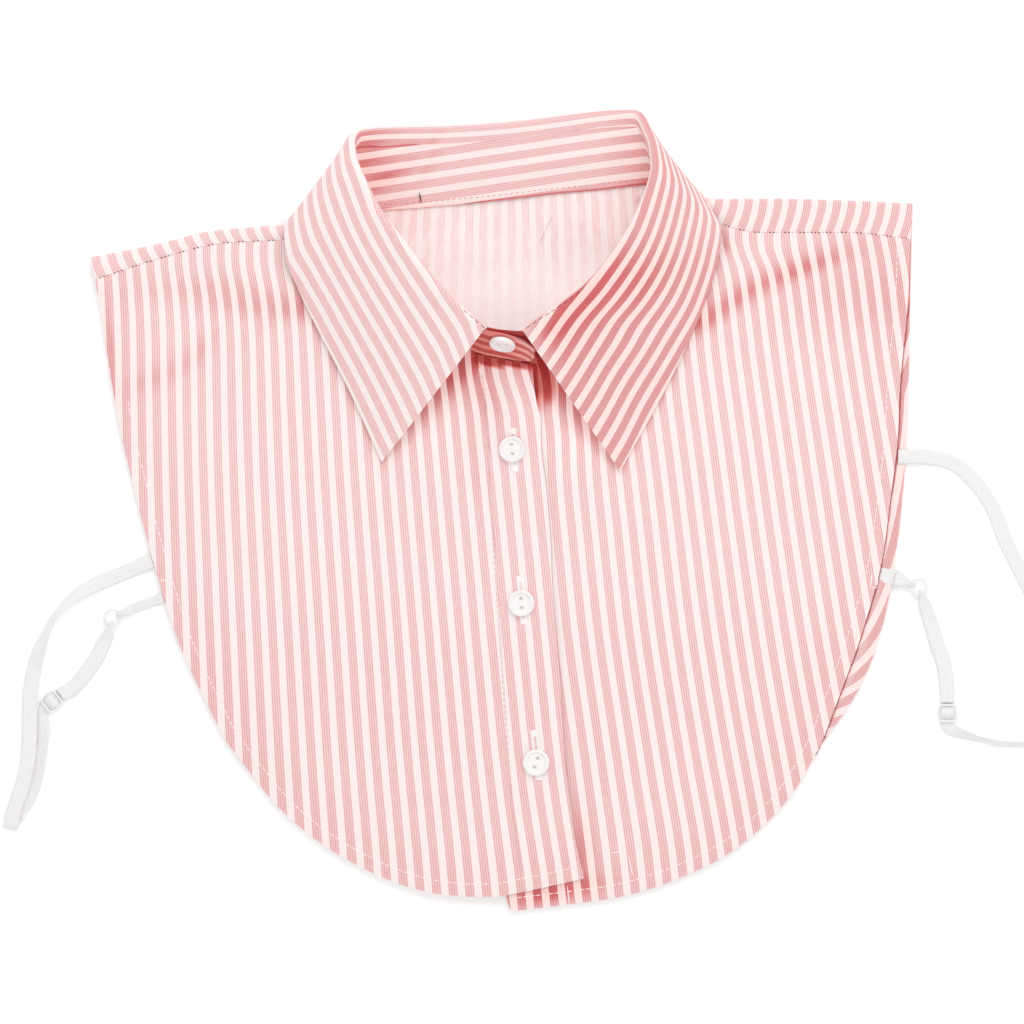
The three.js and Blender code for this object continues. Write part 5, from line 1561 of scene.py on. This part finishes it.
# %% Left stations
# x y base turn across width
LEFT_LEG = np.array([
    (-171.0, -22.3, 1.0, 0, -68, 6.6), (-179.6, -26.1, 0.1, 0, -67, 6.6),
    (-188.1, -29.7, 0.0, 0, -66, 6.6), (-198.0, -33.8, 0.0, 15, -62, 6.6),
    (-207.5, -39.6, 0.0, 45, -51, 6.6), (-214.6, -47.2, 0.0, 62, -36, 6.6),
    (-219.1, -56.2, 0.0, 48, -23, 6.6), (-222.5, -65.3, 0.0, 18, -15, 6.6),
    (-224.6, -74.7, 0.3, 0, -8, 6.6), (-225.8, -83.7, 0.9, 0, -3, 6.6),
    (-225.9, -95.9, 1.5, 0, -1, 6.6), (-226.2, -107.6, 2.1, 0, -6, 6.6),
    (-227.8, -118.8, 2.1, 0, -14, 6.6), (-230.9, -128.8, 2.0, 0, -19, 6.6),
    (-233.4, -136.6, 1.9, 0, -17, 6.6), (-234.4, -141.2, 1.9, 0, -14, 6.6),
    (-234.6, -141.9, 1.8, 0, -14, 6.6), (-234.7, -142.5, 1.5, 0, -14, 6.6),
    (-234.8, -142.8, 0.95, 0, -14, 6.6), (-234.7, -142.5, 0.4, 0, -14, 6.6),
    (-234.5, -141.9, 0.05, 0, -14, 6.6), (-234.1, -141.2, 0.0, 0, -14, 6.6),
    (-231.5, -137.0, 0.0, 0, -18, 6.6), (-227.6, -131.0, 0.0, 0, -20, 6.6),
    (-223.9, -122.4, 0.0, 8, -12, 6.6), (-221.4, -111.6, 0.0, 25, -8, 6.6),
    (-219.8, -102.0, 0.0, 34, -8, 6.6), (-219.3, -96.5, 0.0, 12, -20, 6.4),
    (-219.8, -92.0, 0.0, 0, -38, 6.2),
])
LEFT_DOUBLED = np.array([
    (-208.7, -81.1, 0, 0, -47, 6.6), (-203.0, -75.9, 0, 0, -43, 6.6), (-199.4, -71.3, 0, 0, -37, 6.6),
    (-195.3, -65.0, 0, 0, -30, 6.6), (-192.2, -58.6, 0, 0, -20, 6.2),
])
LEFT_TAB = np.array([
    (-165.8, -38.8, 1.0, 0, -68, 4.4), (-170.6, -40.8, 0.2, 0, -67, 4.4),
    (-178.4, -43.4, 0.0, 0, -66, 4.4),
])
print("stations of the left leg:", len(LEFT_LEG))

# %% Right stations
# x y base turn across width
RIGHT_LEG = np.array([
    (164.6, 24.3, 1.35, 0, -90, 6.6), (171.4, 24.5, 1.35, 0, -93, 6.6),
    (179.4, 24.0, 0.1, 0, -102, 6.6), (188.1, 22.0, 0.0, 0, -117, 6.6),
    (198.0, 14.4, 0.0, 0, -139, 6.6), (207.0, 1.8, 0.0, 0, -152, 6.6),
    (212.9, -13.0, 0.0, 0, -157, 6.6), (221.4, -30.2, 0.0, 0, -154, 6.6),
    (228.6, -44.6, 0.0, 15, -157, 6.6), (234.0, -60.3, 0.0, 35, -168, 6.6),
    (235.6, -76.0, 0.0, 60, -180, 6.6), (234.4, -89.6, 0.0, 75, -193, 6.6),
    (230.0, -99.6, 0.0, 75, -219, 6.6), (221.4, -105.0, 0.0, 68, -256, 6.6),
    (210.7, -104.6, 0.0, 66, -278, 6.6), (202.5, -102.9, 0.0, 66, -285, 6.6),
    (194.6, -100.6, 0.0, 52, -294, 6.6), (190.0, -99.0, 0.0, 26, -318, 6.4),
    (187.6, -97.4, 0.0, 4, -342, 6.2),
])
RIGHT_DOUBLED = np.array([
    (186.6, -79.3, 0, 0, -359, 6.6), (185.5, -69.9, 0, 0, -353, 6.6), (182.2, -59.8, 0, 0, -342, 6.6),
    (178.9, -48.8, 0, 0, -340, 6.2),
])
RIGHT_TAB = np.array([
    (156.3, -28.8, 1.35, 0, 75, 7.4), (163.0, -30.2, 1.35, 0, 73, 7.2),
    (165.6, -30.9, 0.6, 0, 70, 6.4),
])
print("stations of the right leg:", len(RIGHT_LEG))

# %% Sizes of the fittings
STRAP_THICK = 1.0
RING_RADIUS, RING_WIRE, RING_HEIGHT = 3.6, 0.65, 2.0
SLIDER_ALONG, SLIDER_ACROSS, SLIDER_BAR, SLIDER_THICK, SLIDER_HEIGHT = 8.2, 8.8, 1.0, 1.0, 2.05
LEFT_RING, RIGHT_RING = (-188.5, -47.9), (173.9, -34.2)
LEFT_SLIDER, RIGHT_SLIDER = (-216.0, -85.7, 38), (186.8, -90.9, 90)
opening = round(SLIDER_ACROSS - 2 * SLIDER_BAR, 1)
print("opening of a slider:", opening, "mm, elastic:", LEFT_LEG[0, 5], "mm wide")

# %% Elastic paths
DOUBLED_LIFT = STRAP_THICK + 0.45  # from the lower layer of a doubled part to the upper one
THREADED_WIDTH = 6.2  # the elastic is squeezed a little in the slider


def toward(degrees):
    """The way at an angle on the table, of length 1."""
    return np.array([math.cos(math.radians(degrees)), math.sin(math.radians(degrees))])


def round_ring(ring, way, across, width):
    """Stations of the elastic in under the ring's wire, half a turn round it and back over it."""
    turn = RING_HEIGHT - STRAP_THICK / 2
    angle = np.radians(np.arange(0, 181, 30))
    out = np.concatenate([[3.6, 1.2], -turn * np.sin(angle), [1.2, 3.6]])
    base = np.concatenate([[0, 0], turn * (1 - np.cos(angle)), [2 * turn, 2.4]])
    wide = np.concatenate([[width * 0.8, 2.6], np.full(len(angle), 2.0), [2.6, width * 0.8]])
    place = np.array(ring) + toward(way) * (RING_RADIUS + out)[:, None]
    return np.column_stack([place, base, np.zeros_like(out), np.full_like(out, across), wide])


def through_slider(slider, across):
    """Stations under both end bars and over the middle bar: the height is a cosine wave."""
    x, y, way = slider
    s = np.array([-4.8, -3.6, -3.0, -2.4, -1.8, -1.2, -0.6, 0, 0.6, 1.2, 1.8, 2.4, 3.0, 3.6, 4.8])
    pitch = (SLIDER_ALONG - SLIDER_BAR) / 2
    wave = np.where(np.abs(s) > pitch, -1, np.cos(math.pi * s / pitch))
    place = np.array([x, y]) + toward(way) * s[:, None]
    base = (SLIDER_HEIGHT - STRAP_THICK / 2) * (1 + wave)
    flat, across, wide = (np.full_like(s, value) for value in (0, across, THREADED_WIDTH))
    return np.column_stack([place, base, flat, across, wide])


def lifted(rows, lift):
    """Stations in the other order, laid on top."""
    return rows[::-1] + np.array([0, 0, lift, 0, 0, 0])


def strap_rows(leg, slider, slider_across, doubled, ring, way, ring_across):
    """The whole strap in one run: leg, slider, doubled part, ring and back to the slider."""
    threaded = through_slider(slider, slider_across)
    end = threaded[-1:] * (1, 1, 0, 1, 1, 1) + (0, 0, DOUBLED_LIFT, 0, 0, 0)
    around = round_ring(ring, way, ring_across, 6.6)
    return np.vstack([leg, threaded, doubled, around, lifted(doubled, DOUBLED_LIFT), end])


# %% Knitted elastic
CORD, KNIT = 1.1, 0.9  # spacing of the lengthwise cords, and of the stitches along them


def knitted_elastic():
    """Lengthwise cords with fine slanted stitches between them, in the ribbon's own millimetres."""
    finish = Finish("knitted_elastic")
    across, along, _ = finish.field("threads")
    cord = (across * (2 * math.pi / CORD)).math("COSINE") * 0.5 + 0.5
    arch = (across * (math.pi / CORD)).math("SINE").math("ABSOLUTE") * 0.5
    stitch = ((along + arch) * (2 * math.pi / KNIT)).math("SINE") * 0.5 + 0.5
    place = finish.node("ShaderNodeCombineXYZ", inputs={0: across, 1: along * 0.25})
    uneven = finish.noise(place, 0.8, 3)
    light = finish.blend(finish.step(uneven, 0.3, 0.75), srgb(247, 245, 244), srgb(253, 252, 251))
    # Greyer between the cords and stitches: painted shade in the knit's grooves.
    tint = finish.blend((1 - stitch * 0.5 - cord * 0.5) * 0.35, light, srgb(224, 221, 222))
    height = cord * 0.6 + stitch * 0.5
    bump = finish.node("ShaderNodeBump", inputs={"Strength": 0.5, "Distance": 0.0002, "Height": height})
    return finish.surface(Base_Color=tint, Roughness=0.75, Sheen_Weight=0.15, Normal=bump)


ELASTIC = knitted_elastic()
print("elastic made of", len(ELASTIC.node_tree.nodes), "nodes")

# %% Ribbons
RIBBON_POINTS = 15
RIBBON_HALF, RIB, RIBS = 0.45, 0.05, 5  # half its thickness, height of the ridges, and their number
PLAIN_HALF = 3.3  # half its width where nothing squeezes it


def ribbon(name, rows, node):
    """Sweep: at each station a flat oval with lengthwise ridges lies across the way, turned on edge
    by its turn, so that its lowest edge is at its base."""
    spans = np.hypot(np.hypot(*np.diff(rows[:, :2], axis=0).T), np.diff(rows[:, 2]))
    x, y, base, turn, across, width = refine(rows, spans, 0.9).T
    turn, across = np.radians(turn), np.radians(across)
    high = STRAP_THICK * np.abs(np.cos(turn)) + width * np.abs(np.sin(turn))
    middle = np.stack([x, y, base + high / 2], 1)
    forward = unit(np.gradient(middle, axis=0))
    side = np.stack([
        np.cos(across) * np.cos(turn), np.sin(across) * np.cos(turn), np.sin(turn),
    ], 1)
    face = unit(np.cross(forward, side))
    u = np.linspace(-1, 1, RIBBON_POINTS)
    bulge = RIBBON_HALF * (1 - np.abs(u) ** 6) ** 0.5
    bulge = bulge + RIB * np.cos(math.pi * RIBS * u) * (1 - u ** 4)
    bulge[[0, -1]] = 0
    around_u = np.concatenate([u, u[-2:0:-1]])
    around_z = np.concatenate([bulge, -bulge[-2:0:-1]])
    far = lengths(middle)
    points = middle[:, None] + side[:, None] * (around_u * width[:, None] / 2)[..., None]
    points = points + face[:, None] * around_z[:, None]
    count = len(around_u)
    quads = grid_faces(len(points), count, around=True)
    threads = np.stack(np.broadcast_arrays(around_u * PLAIN_HALF, far[:, None], 0.0), -1)
    start_cap = np.arange(count)
    end_cap = start_cap[::-1] + (len(points) - 1) * count
    put(name, points.reshape(-1, 3), [*quads.tolist(), start_cap.tolist(), end_cap.tolist()], ELASTIC,
        stands_for=(node,), slot="white_elastic", threads=threads.reshape(-1, 3))


# %% Straps and tabs
left_path = strap_rows(
    LEFT_LEG, LEFT_SLIDER, -52, LEFT_DOUBLED, LEFT_RING, way=-105, ring_across=-15)
right_path = strap_rows(
    RIGHT_LEG, RIGHT_SLIDER, -360, RIGHT_DOUBLED, RIGHT_RING, way=-71, ring_across=-341)
ribbon("left_strap_elastic", left_path, "left_strap")
ribbon("right_strap_elastic", right_path, "right_strap")
ribbon("left_tab_elastic", np.vstack([
    LEFT_TAB, round_ring(LEFT_RING, way=25, across=-65, width=4.4),
    lifted(LEFT_TAB[2:], DOUBLED_LIFT),
]), "left_tab")
ribbon("right_tab_elastic", np.vstack([
    RIGHT_TAB, round_ring(RIGHT_RING, way=158, across=68, width=6.4),
    lifted(RIGHT_TAB[1:], DOUBLED_LIFT),
]), "right_tab")

# %% [markdown]
# ## Rings and sliders
# Small moulded fittings, as on any thin strap: a round ring, and a flat slider with a bar across its
# middle. Both are a rounded section carried round a closed line. The section and the slider's outline
# are circles squared off by a power below 1.

# %% Squared ovals
FITTING_PLASTIC = plastic("fitting_plastic", (240, 239, 240), (252, 251, 251))
SECTION_POWER = 0.7
FRAME_POWER = 0.32
FRAME_POINTS = 96
UP = np.array([0, 0, 1.0])


def squared_circle(count, half_width, half_height, power):
    """Two rows of numbers, cosine and sine each to a power below 1, times the two half sizes."""
    angle = np.linspace(0, 2 * math.pi, count, endpoint=False)
    c, s = np.cos(angle), np.sin(angle)
    wide = half_width * np.sign(c) * np.abs(c) ** power
    high = half_height * np.sign(s) * np.abs(s) ** power
    return wide, high


def loop_tube(line, half_width, half_height, sides=20):
    """A closed flat line that carries a squared oval: its width lies level, its height upright."""
    way = unit(np.roll(line, -1, axis=0) - np.roll(line, 1, axis=0))
    out = np.stack([way[:, 1], -way[:, 0], np.zeros(len(line))], 1)
    wide, high = squared_circle(sides, half_width, half_height, SECTION_POWER)
    points = line[:, None] + out[:, None] * wide[:, None] + UP * high[:, None]
    ids = grid_faces(len(line) + 1, sides, around=True) % (len(line) * sides)
    return points.reshape(-1, 3), ids.tolist()


# %% The slider's bar
# Along a slider's bar: share of its length, and share of its full section there.
BAR_STATIONS = np.array([
    (0.0, 0.02), (0.0, 0.7), (0.03, 0.92), (0.12, 1), (0.5, 1), (0.88, 1), (0.97, 0.92), (1.0, 0.7),
    (1.0, 0.02),
])


def bar(start, end, half_width, half_height, sides=16):
    """A straight bar with the same squared oval, its ends drawn in to a point."""
    t, size = BAR_STATIONS.T[:, :, None, None]
    start, end = np.asarray(start, float), np.asarray(end, float)
    way = unit(end - start)
    out = np.array([way[1], -way[0], 0])
    wide, high = squared_circle(sides, half_width, half_height, SECTION_POWER)
    oval = out * wide[:, None] + UP * high[:, None]
    points = start * (1 - t) + end * t + oval * size
    quads = grid_faces(len(t), sides, around=True)
    first = np.arange(sides)[::-1]
    last = np.arange(sides) + (len(t) - 1) * sides
    return points.reshape(-1, 3), [*quads.tolist(), first.tolist(), last.tolist()]


# %% Rings and sliders
def fit_ring(side, place):
    """A circle of wire lying flat at the ring's height."""
    angle = np.linspace(0, 2 * math.pi, 72, endpoint=False)
    line = np.stack([
        place[0] + RING_RADIUS * np.cos(angle), place[1] + RING_RADIUS * np.sin(angle),
        np.full_like(angle, RING_HEIGHT),
    ], 1)
    put(f"{side}_ring_wire", *loop_tube(line, RING_WIRE, RING_WIRE * 0.95), FITTING_PLASTIC,
        stands_for=(f"{side}_ring",), slot="white_plastic")


def fit_slider(side, slider):
    """The frame's line is a squared oval; the bar crosses it in the middle."""
    x, y, way = slider
    half_along, half_across = (SLIDER_ALONG - SLIDER_BAR) / 2, (SLIDER_ACROSS - SLIDER_BAR) / 2
    along, across = squared_circle(FRAME_POINTS, half_along, half_across, FRAME_POWER)
    line = np.stack([along, across, np.zeros_like(along)], 1)
    closed = np.vstack([line, line[:1]])
    line = walk(closed, np.linspace(0, 1, FRAME_POINTS, endpoint=False) * lengths(closed)[-1])
    points, faces = join([
        loop_tube(line, SLIDER_BAR / 2, SLIDER_THICK / 2),
        bar((0, -half_across, 0), (0, half_across, 0), SLIDER_BAR / 2, SLIDER_THICK * 0.42),
    ])
    put(f"{side}_slider_frame", turned(points, (x, y, SLIDER_HEIGHT), (0, 0, 1), way), faces,
        FITTING_PLASTIC, stands_for=(f"{side}_slider",), slot="white_plastic")


fit_ring("left", LEFT_RING)
fit_ring("right", RIGHT_RING)
fit_slider("left", LEFT_SLIDER)
fit_slider("right", RIGHT_SLIDER)

# %% [markdown]
# ## Table
# The table is a plain sheet of white paper just under the dickey. It glows a little, so that it
# washes out as paper does under studio light.

# %% Table
def table_paper():
    """White paper with hardly any tooth."""
    finish = Finish("table_paper")
    place = finish.node("ShaderNodeTexCoord", output="Object")
    tooth = finish.noise(place, 60, 2)
    tint = finish.blend(tooth, srgb(254, 254, 254), srgb(255, 255, 255))
    return finish.surface(
        Base_Color=tint, Roughness=0.9, Emission_Color=(1, 1, 1, 1), Emission_Strength=0.12)


TABLE, TABLE_DOWN = 4000.0, -0.4
corners = TABLE * np.array([(-1, -1), (1, -1), (1, 1), (-1, 1)])
sheet = bpy.data.meshes.new("table_top")
sheet.from_pydata([(x * MM, y * MM, TABLE_DOWN * MM) for x, y in corners], [], [(0, 1, 2, 3)])
sheet.materials.append(table_paper())
table_top = bpy.data.objects.new("table_top", sheet)
bpy.context.collection.objects.link(table_top)

# %% [markdown]
# ## The back's area
# The area of the back panel and its two shoulder rolls, worked out from their grids. The back's hem
# is turned twice, so its strip is cut nearly twice as wide as what shows.

# %% Area of the back
area_of(back_flat) + area_of(left_roll) + area_of(right_roll)
